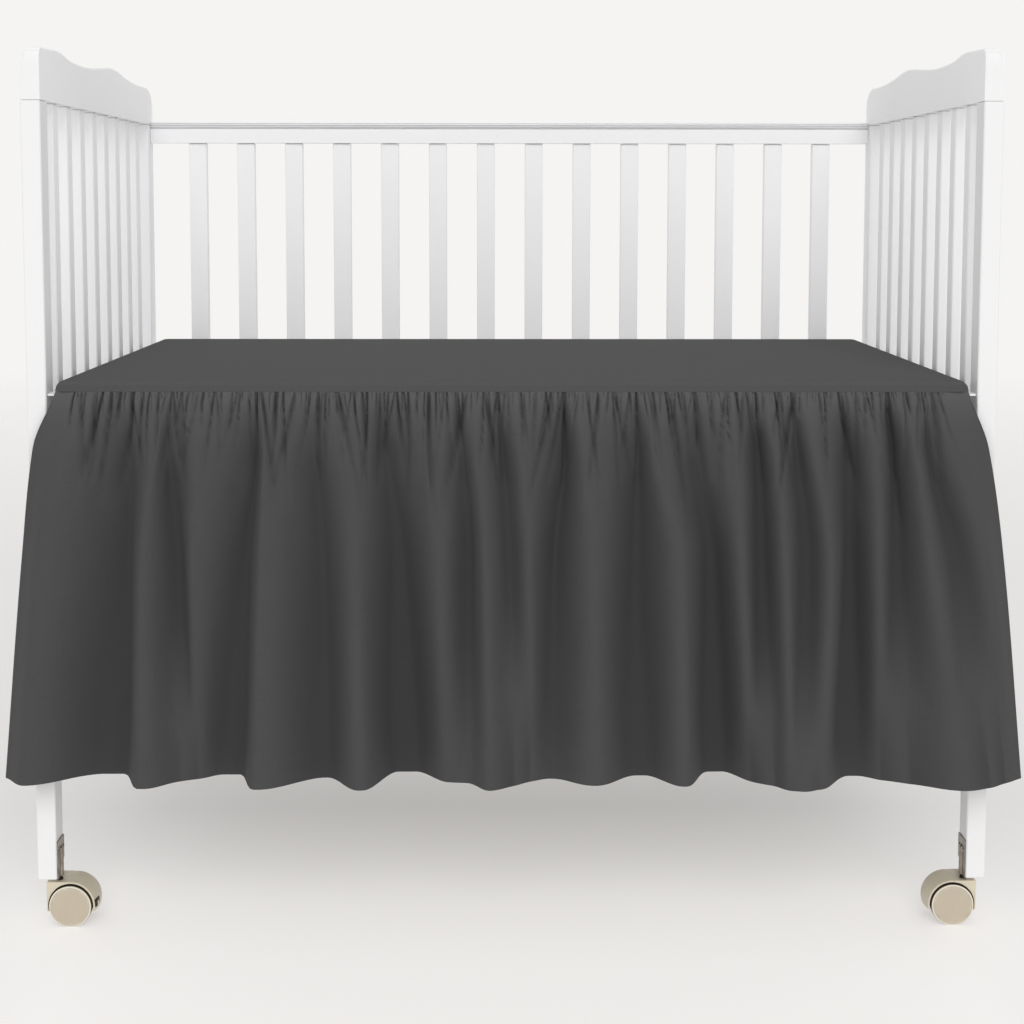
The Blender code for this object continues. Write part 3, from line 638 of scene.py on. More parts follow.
def new_group(name, inputs, outputs):
    """A shader node group with named sockets: (name, kind, value) in, names of plain values out."""
    group = bpy.data.node_groups.new(name, "ShaderNodeTree")
    for label, kind, value in inputs:
        socket = group.interface.new_socket(name=label, in_out="INPUT", socket_type=kind)
        if value is not None:
            socket.default_value = value
    for label in outputs:
        group.interface.new_socket(name=label, in_out="OUTPUT", socket_type="NodeSocketFloat")
    wires = Wiring(group)
    return group, wires, wires.add("NodeGroupInput").outputs, wires.add("NodeGroupOutput").inputs


def plain_weave():
    """Over-and-under threads with slubs, from a vector in metres along the cloth."""
    group, wires, given, made = new_group(
        "plain_weave",
        (
            ("Along Cloth", "NodeSocketVector", None),
            ("Threads Per Metre", "NodeSocketFloat", 1600.0),
            ("Slub", "NodeSocketFloat", 0.5),
        ),
        ("Height", "Slub Mask", "Fade"),
    )
    along, threads = given["Along Cloth"], given["Threads Per Metre"]
    split = wires.add("ShaderNodeSeparateXYZ")
    wires.join(along, split.inputs[0])
    warp = wires.times(split.outputs["X"], threads)
    weft = wires.times(split.outputs["Y"], threads)
    checks = wires.math("ADD", wires.math("FLOOR", warp), wires.math("FLOOR", weft))
    over = wires.math("PINGPONG", checks, 1.0)
    warp_round = wires.math("SINE", wires.times(wires.math("FRACT", warp), math.pi))
    weft_round = wires.math("SINE", wires.times(wires.math("FRACT", weft), math.pi))
    warp_over = wires.times(warp_round, over)
    weft_over = wires.times(weft_round, wires.math("SUBTRACT", 1.0, over))
    wires.join(wires.math("ADD", warp_over, weft_over), made["Height"])
    warp_slub = wires.noise(wires.stretched(along, (900, 24, 1)), 1.0, 1.0)
    weft_slub = wires.noise(wires.stretched(along, (24, 900, 1)), 1.0, 1.0)
    slubs = wires.times(wires.math("ADD", warp_slub, weft_slub), 0.5)
    wires.join(wires.times(wires.ranged(slubs, 0.38, 0.64), given["Slub"]), made["Slub Mask"])
    wires.join(wires.ranged(wires.noise(along, 9.0, 3.0, 0.6), 0.3, 0.7), made["Fade"])
    return group


def surface_grain():
    """Fine unevenness of a painted, moulded or plated surface, with a slow cloudy tone."""
    group, wires, given, made = new_group(
        "surface_grain",
        (
            ("Place", "NodeSocketVector", None),
            ("Grain Scale", "NodeSocketFloat", 600.0),
            ("Cloud Scale", "NodeSocketFloat", 6.0),
        ),
        ("Grain", "Cloud"),
    )
    wires.join(wires.noise(given["Place"], given["Grain Scale"], 2.0, 0.55), made["Grain"])
    cloud = wires.noise(given["Place"], given["Cloud Scale"], 4.0, 0.55)
    wires.join(wires.ranged(cloud, 0.3, 0.7), made["Cloud"])
    return group


def edge_wear_and_painted_light():
    """A mask along the edges, broken up by noise."""
    group, wires, given, made = new_group(
        "edge_wear_and_painted_light",
        (("Place", "NodeSocketVector", None), ("Edge Width", "NodeSocketFloat", 0.0015)),
        ("Edge",),
    )
    softened = wires.add("ShaderNodeBevel", samples=4)
    wires.join(given["Edge Width"], softened.inputs["Radius"])
    flat = wires.add("ShaderNodeNewGeometry")
    turned = wires.add("ShaderNodeVectorMath", operation="DOT_PRODUCT")
    wires.join(softened.outputs["Normal"], turned.inputs[0])
    wires.join(flat.outputs["True Normal"], turned.inputs[1])
    edge = wires.ranged(turned.outputs["Value"], 0.995, 0.86)
    broken = wires.ranged(wires.noise(given["Place"], 55.0, 4.0, 0.65), 0.42, 0.66, 0.15, 1.0)
    wires.join(wires.times(edge, broken), made["Edge"])
    return group


WEAVE = plain_weave()
GRAIN = surface_grain()
WEAR_AND_PAINTED_LIGHT = edge_wear_and_painted_light()


def new_finish(name, **values):
    """A material with its Principled shader's plain values set: the material, the shader's sockets, the
    wiring and the coordinates."""
    material = bpy.data.materials.new(name)
    material.use_nodes = True
    shader = material.node_tree.nodes["Principled BSDF"].inputs
    for label, value in values.items():
        shader[label.replace("_", " ")].default_value = value
    wires = Wiring(material.node_tree)
    return material, shader, wires, wires.add("ShaderNodeTexCoord").outputs


def placed(wires, group, **values):
    """A shared effect put in a material with its values; its outputs."""
    node = wires.add("ShaderNodeGroup", node_tree=group)
    for label, value in values.items():
        wires.give(node.inputs[label.replace("_", " ")], value)
    return node.outputs


# ---- Finishes ----

def woven_charcoal():
    """Matt charcoal cloth with painted light, paler under the seam and on the platform's roll and strip, and
    with painted shade, darker in its folds.
    """
    material, shader, wires, place = new_finish(
        "woven_charcoal", Roughness=0.9, Specular_IOR_Level=0.1, Sheen_Weight=0.04, Sheen_Roughness=0.5
    )
    weave = placed(wires, WEAVE, Along_Cloth=place["UV"], Threads_Per_Metre=1500.0, Slub=0.55)
    body = wires.mixed(weave["Slub Mask"], CHARCOAL, CHARCOAL_DEEP)
    faded = wires.mixed(wires.times(weave["Fade"], 0.10), body, RUBBED_CHARCOAL)
    # Painted light: paler under the front seam, a painted highlight on the platform's roll, and lighter on
    # its strip
    paler = wires.mixed(wires.marked("rubbed_by_seam"), faded, CHARCOAL_PAINTED_LIGHT)
    # Painted shade: darker in the front drop's valleys and gathers
    wires.join(wires.mixed(wires.marked("painted_shade_in_fold"), paler, CHARCOAL_PAINTED_SHADE), shader["Base Color"])
    wires.join(wires.ranged(weave["Slub Mask"], 0.0, 1.0, 0.93, 0.82), shader["Roughness"])
    threads = wires.bumped(weave["Height"], 0.12 * MM, 0.6)
    wires.join(wires.bumped(weave["Slub Mask"], 0.10 * MM, 0.5, threads), shader["Normal"])
    return material


def grained(wires, place, grain_scale, cloud_scale, edge_width):
    """Grain, cloud and an edge mask of a hard finish, from its place on the object; the mask makes worn edges
    on paint, wear and painted highlight on plastic, and painted shade on steel.
    """
    grain = placed(wires, GRAIN, Place=place["Object"], Grain_Scale=grain_scale, Cloud_Scale=cloud_scale)
    edge_mask = placed(wires, WEAR_AND_PAINTED_LIGHT, Place=place["Object"], Edge_Width=edge_width)
    return grain["Grain"], grain["Cloud"], edge_mask["Edge"]


def satin_paint(name, colour, worn, roughness=0.42):
    """Satin paint over wood, a little worn and dusty along its edges."""
    material, shader, wires, place = new_finish(name, Specular_IOR_Level=0.4)
    grain, cloud, edge = grained(wires, place, 420.0, 5.0, 1.2 * MM)
    tone = wires.mixed(wires.times(cloud, 0.22), colour, worn)
    wires.join(wires.mixed(wires.times(edge, 0.35), tone, worn), shader["Base Color"])
    wires.join(wires.ranged(cloud, 0.0, 1.0, roughness - 0.05, roughness + 0.09), shader["Roughness"])
    along_grain = wires.noise(wires.stretched(place["Object"], (260, 260, 9)), 1.0, 3.0)
    brushed = wires.bumped(along_grain, 0.05 * MM, 0.35)
    wires.join(wires.bumped(grain, 0.03 * MM, 0.4, brushed), shader["Normal"])
    return material


def moulded_plastic(name, colour, shade):
    """Plastic with a fine moulded grain, paler along its edges, partly wear and partly painted highlight,
    with a painted highlight on marked beads and painted shade in its gaps.
    """
    material, shader, wires, place = new_finish(name, Specular_IOR_Level=0.45)
    grain, cloud, edge = grained(wires, place, 1900.0, 40.0, 0.8 * MM)
    tone = wires.mixed(wires.times(cloud, 0.3), colour, shade)
    # Paler edges: partly wear, partly a painted highlight on rims
    pale = wires.mixed(wires.times(edge, 0.85), tone, PLASTIC_WORN_AND_HIGHLIGHT)
    # Painted highlight on the wheels' beads
    bright = wires.mixed(wires.times(wires.marked("rubbed"), 0.75), pale, PLASTIC_WORN_AND_HIGHLIGHT)
    # Painted shade in the gap between wheel and hood
    wires.join(wires.mixed(wires.marked("in_gap"), bright, GAP_PAINTED_SHADE), shader["Base Color"])
    wires.join(wires.ranged(cloud, 0.0, 1.0, 0.42, 0.56), shader["Roughness"])
    wires.join(wires.bumped(grain, 0.04 * MM, 0.5), shader["Normal"])
    return material


def plated_steel(name, colour, stained, roughness=0.36):
    """Plated steel with drawn lines and a few darker stains, darkened along its edges with painted shade."""
    material, shader, wires, place = new_finish(name, Metallic=1.0)
    _, cloud, edge = grained(wires, place, 900.0, 90.0, 0.9 * MM)
    # Painted shade: the steel darkened along its edges
    wires.join(wires.mixed(edge, wires.mixed(cloud, colour, stained), STEEL_EDGE_SHADE_AND_STAIN), shader["Base Color"])
    wires.join(wires.ranged(cloud, 0.0, 1.0, roughness - 0.06, roughness + 0.12), shader["Roughness"])
    drawn = wires.noise(wires.stretched(place["Object"], (2200, 2200, 60)), 1.0, 2.0)
    wires.join(wires.bumped(drawn, 0.02 * MM, 0.4), shader["Normal"])
    return material


def studio_floor():
    """A pale floor that glows, painted light, most in a pool in front of and under the crib's front that dims
    towards the sides, and that fades into the studio's own tone far from the crib.
    """
    material, shader, wires, place = new_finish("studio_floor", Roughness=0.7, Specular_IOR_Level=0.1)
    grain = placed(wires, GRAIN, Place=place["Object"], Grain_Scale=40.0, Cloud_Scale=0.7)
    tone = wires.mixed(wires.times(grain["Cloud"], 0.15), FLOOR_COLOUR, FLOOR_CLOUD)
    wires.join(tone, shader["Base Color"])
    # Painted light: the floor glows, most in a pool in front of the crib
    shader["Emission Color"].default_value = FLOOR_GLOW
    where = wires.add("ShaderNodeSeparateXYZ")
    wires.join(place["Object"], where.inputs[0])
    nearer = wires.ranged(where.outputs["Y"], *FLOOR_POOL, 1.0, 0.0)
    off_middle = wires.math("ABSOLUTE", where.outputs["X"])
    pool = wires.times(nearer, wires.ranged(off_middle, *FLOOR_POOL_SIDES, 1.0, FLOOR_POOL_LEFT))
    wires.join(wires.ranged(pool, 0.0, 1.0, *FLOOR_GLOW_RANGE), shader["Emission Strength"])
    away = wires.add("ShaderNodeVectorMath", operation="LENGTH")
    wires.join(place["Object"], away.inputs[0])
    wires.join(wires.ranged(away.outputs["Value"], *FLOOR_FADES, 1.0, 0.0), shader["Alpha"])
    return material


LOOKS = {
    # look: (material slot, material); a slot's first look is also that of its undressed solids
    "cloth": ("charcoal_cloth", woven_charcoal()),
    "paint": ("white_paint", satin_paint("satin_white", WHITE_PAINT, WORN_PAINT)),
    "post painted shade": ("white_paint", satin_paint("satin_white_painted_shade", POST_PAINTED_SHADE, WORN_POST_PAINTED_SHADE)),
    "board": ("deck_board", satin_paint("faced_board", BOARD, WORN_BOARD, 0.5)),
    "plastic": ("beige_plastic", moulded_plastic("moulded_beige", BEIGE_PLASTIC, BEIGE_SHADE)),
    "hood plastic painted light": ("beige_plastic", moulded_plastic("moulded_beige_hood_painted_light", HOOD_PLASTIC_PAINTED_LIGHT, BEIGE_PLASTIC)),
    "ivory plastic": ("beige_plastic", moulded_plastic("moulded_ivory", IVORY_PLASTIC, BEIGE_PLASTIC)),
    "steel": ("dark_steel", plated_steel("plated_steel", BRACKET_STEEL, STAINED_STEEL)),
    "dark steel": ("dark_steel", plated_steel("blackened_steel", DARK_STEEL, STEEL_EDGE_SHADE_AND_STAIN, 0.5)),
}


# ---- Cloth ----

def slope_between(before, after):
    """The slope where two slopes meet: their harmonic mean, or 0 where the line turns back."""
    same_way = before * after > 0
    return np.where(same_way, 2 * before * after / np.where(same_way, before + after, 1.0), 0.0)


def between_stations(values, z):
    """Values at the four stations (one row each) at the height z, smooth and never overshooting."""
    spans = STATIONS[:-1] - STATIONS[1:]
    slopes = np.diff(values, axis=0) / spans[:, None]
    tangents = np.vstack((slopes[:1], slope_between(slopes[:-1], slopes[1:]), slopes[-1:]))
    span = 0 if z > STATIONS[1] else 1 if z > STATIONS[2] else 2
    t = (STATIONS[span] - z) / spans[span]
    rise = s_curve(t)
    lean = tangents[span] * t * (1 - t) ** 2 - tangents[span + 1] * t * t * (1 - t)
    return values[span] * (1 - rise) + values[span + 1] * rise + spans[span] * lean


def seam_face(x):
    """y of the turned-down edge's outer face at the front, which draws back round the corners."""
    past = np.clip(np.abs(x) - (PLATFORM_HALF_LENGTH - PLATFORM_CORNER), 0.0, PLATFORM_CORNER * 0.6)
    return PLATFORM_FRONT + PLATFORM_CORNER - np.sqrt(PLATFORM_CORNER ** 2 - past ** 2)


def drop_rows():
    """Distances down the cloth of a drop's mesh rows, and how many of the finest columns each row takes
    as one: close together at the gathers, wider lower down."""
    depths = [-TUCK, -0.0006, 0.0004]
    shares = [1, 1, 1]
    for share, step, growth, last in DROP_ROWS:
        while depths[-1] < last:
            depths.append(depths[-1] + step)
            shares.append(share)
            step *= growth
    depths += [SEAM - HEM - above for above in HEM_ROWS]
    shares += [shares[-1]] * len(HEM_ROWS)
    return depths, shares


def lay_flat(mesh, flat_places):
    """Gives each point its place on the flat cloth, in metres."""
    layer = mesh.uv_layers.new(name="cloth")
    for loop in mesh.loops:
        layer.data[loop.index].uv = flat_places[loop.vertex_index]


def thicken(obj, hem_points=()):
    """Gives a cloth its thickness behind its outer face, more at the hem."""
    solidify = obj.modifiers.new("Cloth thickness", "SOLIDIFY")
    solidify.offset = -1
    solidify.use_even_offset = False
    solidify.thickness = CLOTH
    if hem_points:
        obj.vertex_groups.new(name="hem").add(list(hem_points), 1.0, "REPLACE")
        solidify.thickness = HEM_THICK
        solidify.vertex_group = "hem"
        solidify.thickness_vertex_group = CLOTH / HEM_THICK


def hang_cloth(node, columns, shape, flat_width):
    """A drop in place of its solid: shape(across, depth) gives its points for one row. Three densities of
    mesh join without a step."""
    depths, shares = drop_rows()
    points, flat_places, starts, faces = [], [], [], []
    for depth, share in zip(depths, shares):
        across = np.linspace(0.0, 1.0, columns // share + 1)
        starts.append(len(points))
        points.extend(shape(across, depth))
        flat_places.extend((place * flat_width, -depth) for place in across)
    for i, (top, below) in enumerate(zip(starts, starts[1:])):
        for j in range(columns // shares[i + 1]):
            if shares[i] == shares[i + 1]:
                faces.append((top + j, below + j, below + j + 1, top + j + 1))
            else:
                first = top + 2 * j
                faces.append((first, below + j, first + 1))
                faces.append((first + 1, below + j, below + j + 1))
                faces.append((first + 1, below + j + 1, first + 2))
    mesh = mesh_from(f"{node}_panel", points, faces)
    lay_flat(mesh, flat_places)
    piece = add_piece(f"{node}_panel", mesh, "cloth", (node,))
    hem_row = depths.index(SEAM - HEM - HEM_ROWS[1])
    thicken(piece, range(starts[hem_row], len(points)))
    return mesh


def random_creases(rng, first, last, kind):
    """Creases of one kind between two places along a seam."""
    spacing, lean, *sizes = kind
    rows = []
    place = first + spacing * rng.random()
    while place < last:
        share = rng.random() ** CREASE_SMALLNESS
        leaning = rng.uniform(-lean, lean)
        size = [least + share * (most - least) for least, most in sizes]
        rows.append((place, leaning, *size, rng.choice((-1, 1))))
        place += spacing * rng.uniform(*CREASE_APART)
    return np.array(rows)


def drawn_back(rows, along, depth):
    """How far creases draw the cloth back: rows of (place, lean, length, depth, width, steep side)."""
    near = rows[rows[:, 2] > depth]
    if depth <= 0 or not len(near):
        return np.zeros_like(along)
    place, lean, length, deep, width, steep_side = near.T
    down = depth / length
    centre = place + (lean + CREASE_SWAY[0] * np.sin(place * CREASE_SWAY[1]) * down) * depth
    strength = deep * (1 - np.exp(-depth / (CREASES_OPEN * width))) * (1 - down ** 2) ** 1.5
    apart = (along[:, None] - centre) / (width * (CREASE_SPREAD[0] + CREASE_SPREAD[1] * down))
    steep = np.where(apart * steep_side > 0, *CREASE_STEEP)
    return (strength * np.exp(-steep * np.abs(apart))).sum(1)


def slack(along, depth, seed):
    """Slow, small unevenness of hanging cloth, long in height and short in width."""
    values = np.array([
        noise.noise(Vector((place * 24, depth * 5.0, seed)))
        + 0.5 * noise.noise(Vector((place * 60, depth * 9.0, seed + 7)))
        for place in along
    ])
    return values * SLACK * min(1.0, max(0.0, depth) / SLACK_GROWS)


def dimpled(along, depth, seed):
    """Small hollows and swellings where gathers open out into folds."""
    strength = DIMPLE * math.exp(-(((depth - DIMPLE_DEPTH) / DIMPLE_REACH) ** 2))
    return strength * np.array([
        noise.noise(Vector((place * 34, depth * 19 + place * 7, seed))) for place in along
    ])


def swollen(down):
    """How far gathered cloth puffs out from its seam at a distance below it."""
    return (SEAM_FLARE + PUFF * (1 - math.exp(-down / PUFF_LENGTH))) * math.exp(-down / PUFF_FADES)


# ---- Front drop ----

def front_creases():
    """x and y of the front drop's creases at the four stations, one row each, with their relief deepened."""
    table = np.array([crease[1:] for crease in FRONT_CREASES], float).T * MM
    places = table[:len(STATIONS)]
    backs = np.vstack((seam_face(places[0]), table[len(STATIONS):]))
    for row, (deeper, prouder) in enumerate(STATION_RELIEF):
        for column, crease in enumerate(FRONT_CREASES):
            backs[row, column] += {"valley": deeper, "ridge": -prouder}.get(crease[0], 0.0)
    return places, backs


def front_gathers():
    """The creases under the front seam: the table's, a sharp line in each, and small random ones."""
    rng = random.Random(GATHER_SEED)
    drawn, cores = [], []
    for seam, end, length, deep, width in GATHER_CREASES:
        lean, steep_side = (end - seam) / length, math.copysign(1, -seam)
        longer = GATHER_LENGTH[length > LONG_CREASE]
        drawn.append((
            seam * MM, lean, length * longer * MM, deep * GATHER_DEPTH * MM, GATHER_WIDTH * width * MM,
            steep_side,
        ))
        cores.append((seam * MM, lean, CORE_LENGTH * length * MM, CORE_DEPTH, CORE_WIDTH, steep_side))
    small = [random_creases(rng, *FRONT_GATHERS, kind) for kind in (SHORT_GATHERS, PUCKERS, OPENING_FOLDS)]
    return np.vstack((drawn, cores, *small))


def main_folds(places, backs, k, part, down):
    """The front drop's folds before its gathers, for points that lie a part of the way from crease k to the
    next: x, y, how far each is sunk from its ridge into its valley, and the relief of that valley."""
    x_here = between_stations(places, SEAM - down)
    y_here = between_stations(backs, SEAM - down)
    steps = np.diff(y_here)
    towards_ridge = y_here[k + 1] < y_here[k]
    slopes = np.zeros_like(y_here)
    slopes[1:-1] = slope_between(steps[:-1], steps[1:])
    # A span shows a full fold where neither of its creases is passed on a slope, as at the side edges
    sloped = (np.abs(slopes[k]) + np.abs(slopes[k + 1])) / (PASSED_ON_SLOPE * np.abs(steps[k]) + 1e-6)
    turning = np.where((k > 1) & (k < len(steps) - 2), np.clip(1 - sloped, 0, 1), 0.0)
    # Near the drop's ends a ridge is flat on top and its outer flank a steep step
    ridge_x = places[3][np.where(towards_ridge, k + 1, k)]
    steep_on_left = (ridge_x < 0) ^ (np.abs(ridge_x - STEEP_RIGHT) < MM)
    outer_flank = np.where(steep_on_left, towards_ridge, ~towards_ridge)
    stepped = np.clip(np.abs(ridge_x) / FLANK_FULL[0], 0, 1) * min(1.0, down / FLANK_FULL[1])
    stepped = np.where(outer_flank, stepped * turning, 0.0)
    starts_at = OUTER_FLANK[0] * stepped
    ends_at = 1 - (1 - OUTER_FLANK[1]) * stepped
    from_ridge = np.where(towards_ridge, 1 - part, part)
    from_ridge = np.clip((from_ridge - starts_at) / (ends_at - starts_at), 0, 1)
    # Round from ridge to valley, with the valley pinched to a line near the seam
    pinch = PINCH * (1 - min(1.0, down / (SEAM - HEM))) ** PINCH_EASES * turning
    sunk = (1 - pinch) * (1 - np.cos(math.pi * from_ridge)) / 2 + pinch * from_ridge ** PINCH_SHAPE
    ridge, valley = np.minimum(y_here[k], y_here[k + 1]), np.maximum(y_here[k], y_here[k + 1])
    x = x_here[k] + (x_here[k + 1] - x_here[k]) * part
    y = ridge + (valley - ridge) * sunk
    y = y + slopes[k] * part * (1 - part) ** 2 - slopes[k + 1] * part ** 2 * (1 - part)
    rises = np.abs(steps)
    shallower = np.minimum(np.append(rises, rises[-1]), np.insert(rises, 0, rises[0]))
    return x, y, sunk, shallower[np.where(towards_ridge, k, k + 1)]


def fold_marks(sunk, relief, back, down):
    """How much painted shade darkens the cloth in its valleys and gathers, and how much painted light lifts
    the shade just under the seam.
    """
    below_seam = 1 - math.exp(-down / SEAM_LIGHT_REACH)
    at_seam, growth, most = RELIEF_SHOWN
    relief = relief * min(most, at_seam + growth * down)
    in_valley = sunk ** 1.2 * np.clip(relief / FULL_RELIEF, 0, 1) * 0.8
    in_gather = np.clip(back / FULL_GATHER - 0.25, 0, 1)
    fold_shade = np.clip((in_valley + in_gather) * (0.4 + 0.6 * below_seam), 0, 1)
    return fold_shade, (1 - below_seam) * (1 - 0.5 * fold_shade)


def front_drop():
    """The gathered front panel, with the photograph's folds."""
    places, backs = front_creases()
    gathers = front_gathers()
    spans = len(FRONT_CREASES) - 1
    hem_steps = np.hypot(np.diff(places[3]), np.diff(backs[3]))
    mesh_shares = np.maximum(np.diff(places[0]), MESH_BY_HEM * hem_steps)
    mesh_shares[[0, 1, -2, -1]] *= MESH_AT_EDGES
    measure = np.concatenate(([0.0], np.cumsum(mesh_shares)))
    measure /= measure[-1]
    hollows, painted_light_marks = [], []

    def shape(across, depth):
        """The points of one row; the row above the seam is tucked up behind the platform's edge."""
        down = max(0.0, depth)
        along = np.interp(across, measure, np.arange(spans + 1))
        k = np.minimum(along.astype(int), spans - 1)
        part = along - k
        x, y, sunk, relief = main_folds(places, backs, k, part, down)
        back = drawn_back(gathers, x, depth)
        fold_shade, rubbed = fold_marks(sunk, relief, back, down)
        hollows.extend(np.where((k > 1) & (k < spans - 2), fold_shade, 0.0))
        painted_light_marks.extend(rubbed)
        seam_x = places[0][k] + (places[0][k + 1] - places[0][k]) * part
        gathered = s_curve(np.clip((GATHERS_END[0] - np.abs(seam_x)) / GATHERS_END[1], 0.0, 1.0))
        uneven = slack(x, depth, SLACK_SEED) + dimpled(x, depth, DIMPLE_SEED)
        y = y + gathered * (back - swollen(down) + uneven)
        backmost = BACKMOST * min(1.0, max(0.0, depth - BACKMOST_FROM[0]) / BACKMOST_FROM[1])
        y = np.minimum(y, np.where(np.abs(x) > NEAR_POSTS, 0.0, backmost) + PLAIN_HANG)
        if depth < 0:
            y = np.minimum(backs[0][k] + TUCKED_BACK, PLAIN_HANG)
        stitched = CORNER_STITCHED[0] * math.exp(-down / CORNER_STITCHED[1])
        fullness = CORNER_FULL * (1 - stitched) * math.exp(-down / CORNER_REACH)
        by_corner = np.clip((np.abs(seam_x) - CORNER_FROM[0]) / CORNER_FROM[1], 0, 1)
        x = x + np.sign(x) * fullness * by_corner
        return np.column_stack((x + CRIB[0], y + CRIB[1], np.full_like(x, SEAM - depth)))

    mesh = hang_cloth("skirt_front", FRONT_COLUMNS, shape, float(hem_steps.sum()) * HEM_CURVES)
    # Painted shade in the folds and painted light under the seam, for the cloth's finish
    mark(mesh, "painted_shade_in_fold", hollows)
    mark(mesh, "rubbed_by_seam", painted_light_marks)


# ---- Hidden drops ----

def hidden_drop(node, start, along_way, outward, length, folds, columns, seed):
    """A plain drop that the photograph hides, on its solid's folds, gathered at the seam as the front is."""
    along_way, outward = Vector(along_way), Vector(outward)
    rng = random.Random(seed)
    gathers = np.vstack([
        random_creases(rng, HIDDEN_FREE, length - HIDDEN_FREE, kind)
        for kind in (LONG_GATHERS, SHORT_GATHERS, PUCKERS)
    ])

    def shape(across, depth):
        """The points of one row: folds, gathers and slack, as distances out from the plain drop."""
        down = max(0.0, depth) / (SEAM - HEM)
        phase = folds * across + HIDDEN_SWAY * np.sin(math.pi * folds * across * HIDDEN_DRIFT)
        ridge = (1 + np.cos(2 * math.pi * phase)) / 2
        swell = s_curve(min(1.0, down / HIDDEN_SWELL))
        place = across * length
        ends = np.clip(np.minimum(place, length - place) / HIDDEN_ENDS, 0.0, 1.0)
        out = swell * HIDDEN_BULGE * ridge - down * HIDDEN_DEPTH * (1 - ridge)
        out = out + ends * (swollen(max(0.0, depth)) - drawn_back(gathers, place, depth))
        out = out + slack(place, depth, seed)
        if depth < 0:
            out = np.full_like(place, -TUCKED_BACK)
        points = np.array(start) + np.outer(place, along_way) + np.outer(out, outward)
        points[:, 2] -= depth
        return points

    mesh = hang_cloth(node, columns, shape, length * HIDDEN_FULLNESS)
    if along_way.cross(UP).dot(outward) < 0:
        mesh.flip_normals()


# ---- Platform ----

def platform_field(inner_x, y_low, y_high):
    """The flat field within the rim, with faint wrinkles: points and their places on the flat cloth."""
    columns, rows = PLATFORM_MESH
    points, flat_places = [], []
    for j in range(rows + 1):
        for i in range(columns + 1):
            x = -inner_x + 2 * inner_x * i / columns
            y = y_low + (y_high - y_low) * j / rows
            broad, fine = Vector((x * 5, y * 9, 1.3)), Vector((x * 16, y * 26, 4.1))
            wave = noise.noise(broad) + 0.45 * noise.noise(fine)
            inside = min(1.0, min(inner_x - abs(x), y - y_low, y_high - y) / RIM_WIDTH)
            height = PLATFORM_TOP - FIELD_SINK + WRINKLE * wave * inside + (1 - inside) * RIM_RISE
            points.append(crib(x, y, height))
            flat_places.append((x, y))
    return points, flat_places


def platform_ring():
    """The field's edge points in turn, each with the angle at which the rim leaves it: the front, right, back
    and left edges, and a fan at the corner after each."""
    columns, rows = PLATFORM_MESH
    across = columns + 1
    ring = []
    for side, edge in enumerate((
        range(across),
        range(columns, (rows + 1) * across, across),
        range(rows * across + columns, rows * across - 1, -1),
        range(rows * across, -1, -across),
    )):
        angle = (side - 1) * math.pi / 2
        ring += [(index, angle) for index in edge]
        ring += [(edge[-1], angle + math.pi / 2 * step / CORNER_STEPS) for step in range(1, CORNER_STEPS)]
    return ring


def platform_panel():
    """The flat panel over the deck: a soft roll at its edge, then straight down to the seam."""
    inner_x = PLATFORM_HALF_LENGTH - PLATFORM_CORNER
    y_low, y_high = PLATFORM_FRONT + PLATFORM_CORNER, PLATFORM_BACK - PLATFORM_CORNER
    points, flat_places = platform_field(inner_x, y_low, y_high)
    faces = grid_faces(PLATFORM_MESH[1] + 1, PLATFORM_MESH[0] + 1)
    ring = platform_ring()
    flat_run = PLATFORM_CORNER - PLATFORM_ROLL
    arc = PLATFORM_ROLL * math.pi / 2
    drop = PLATFORM_TOP - PLATFORM_ROLL - SEAM
    outs = [flat_run * 0.5, flat_run] + [flat_run + arc * k / ROLL_STEPS for k in range(1, ROLL_STEPS + 1)]
    outs += [flat_run + arc + drop * part for part in (0.35, 0.7, 0.9, 1.0)]
    layers = [[index for index, _ in ring]]
    painted_light_marks = [0.0] * len(points)
    # Each layer of the rim is the ring moved further out along the cloth: over the roll, then down
    for out in outs:
        turn = min(max(0.0, out - flat_run), arc) / PLATFORM_ROLL
        past_roll = max(0.0, out - flat_run - arc)
        lowered = 1 - math.cos(turn)
        down = PLATFORM_ROLL * lowered + past_roll
        layers.append(range(len(points), len(points) + len(ring)))
        # Painted highlight where the roll starts; painted shade takes part of it back where the cloth turns
        # down
        rubbed, rim_shade = (share * eased(turn, *between) for share, *between in (RIM_PAINTED_HIGHLIGHT, RIM_PAINTED_SHADE))
        painted_light_marks += [rubbed - rim_shade] * len(ring)
        for index, angle in ring:
            base, flat = points[index], flat_places[index]
            swell = RIM_SWELL * noise.noise(Vector((base.x * 70, base.y * 70, out * 90)))
            away = min(out, flat_run) + PLATFORM_ROLL * math.sin(turn)
            away += swell + SEAM_FLARE * (past_roll / drop) ** 2
            corner = math.hypot(abs(base.x - CRIB[0]) - inner_x, base.y - CRIB[1] - y_low)
            fuller = RIM_CORNER * CORNER_FULL * math.exp(-((corner / CORNER_REACH) ** 2)) * lowered
            points.append(base + Vector(((away + fuller) * math.cos(angle), away * math.sin(angle), -down)))
            flat_places.append((flat[0] + out * math.cos(angle), flat[1] + out * math.sin(angle)))
    for inner, outer in zip(layers, layers[1:]):
        for k in range(len(ring)):
            n = (k + 1) % len(ring)
            quad = (inner[k], outer[k], outer[n], inner[n])
            faces.append(quad[:3] if inner[k] == inner[n] else quad)
    mesh = mesh_from("skirt_platform_panel", points, faces)
    mark(mesh, "rubbed_by_seam", painted_light_marks)
    lay_flat(mesh, flat_places)
    piece = add_piece("skirt_platform_panel", face_outwards(mesh, upwards=True), "cloth", ("skirt_platform",))
    thicken(piece)


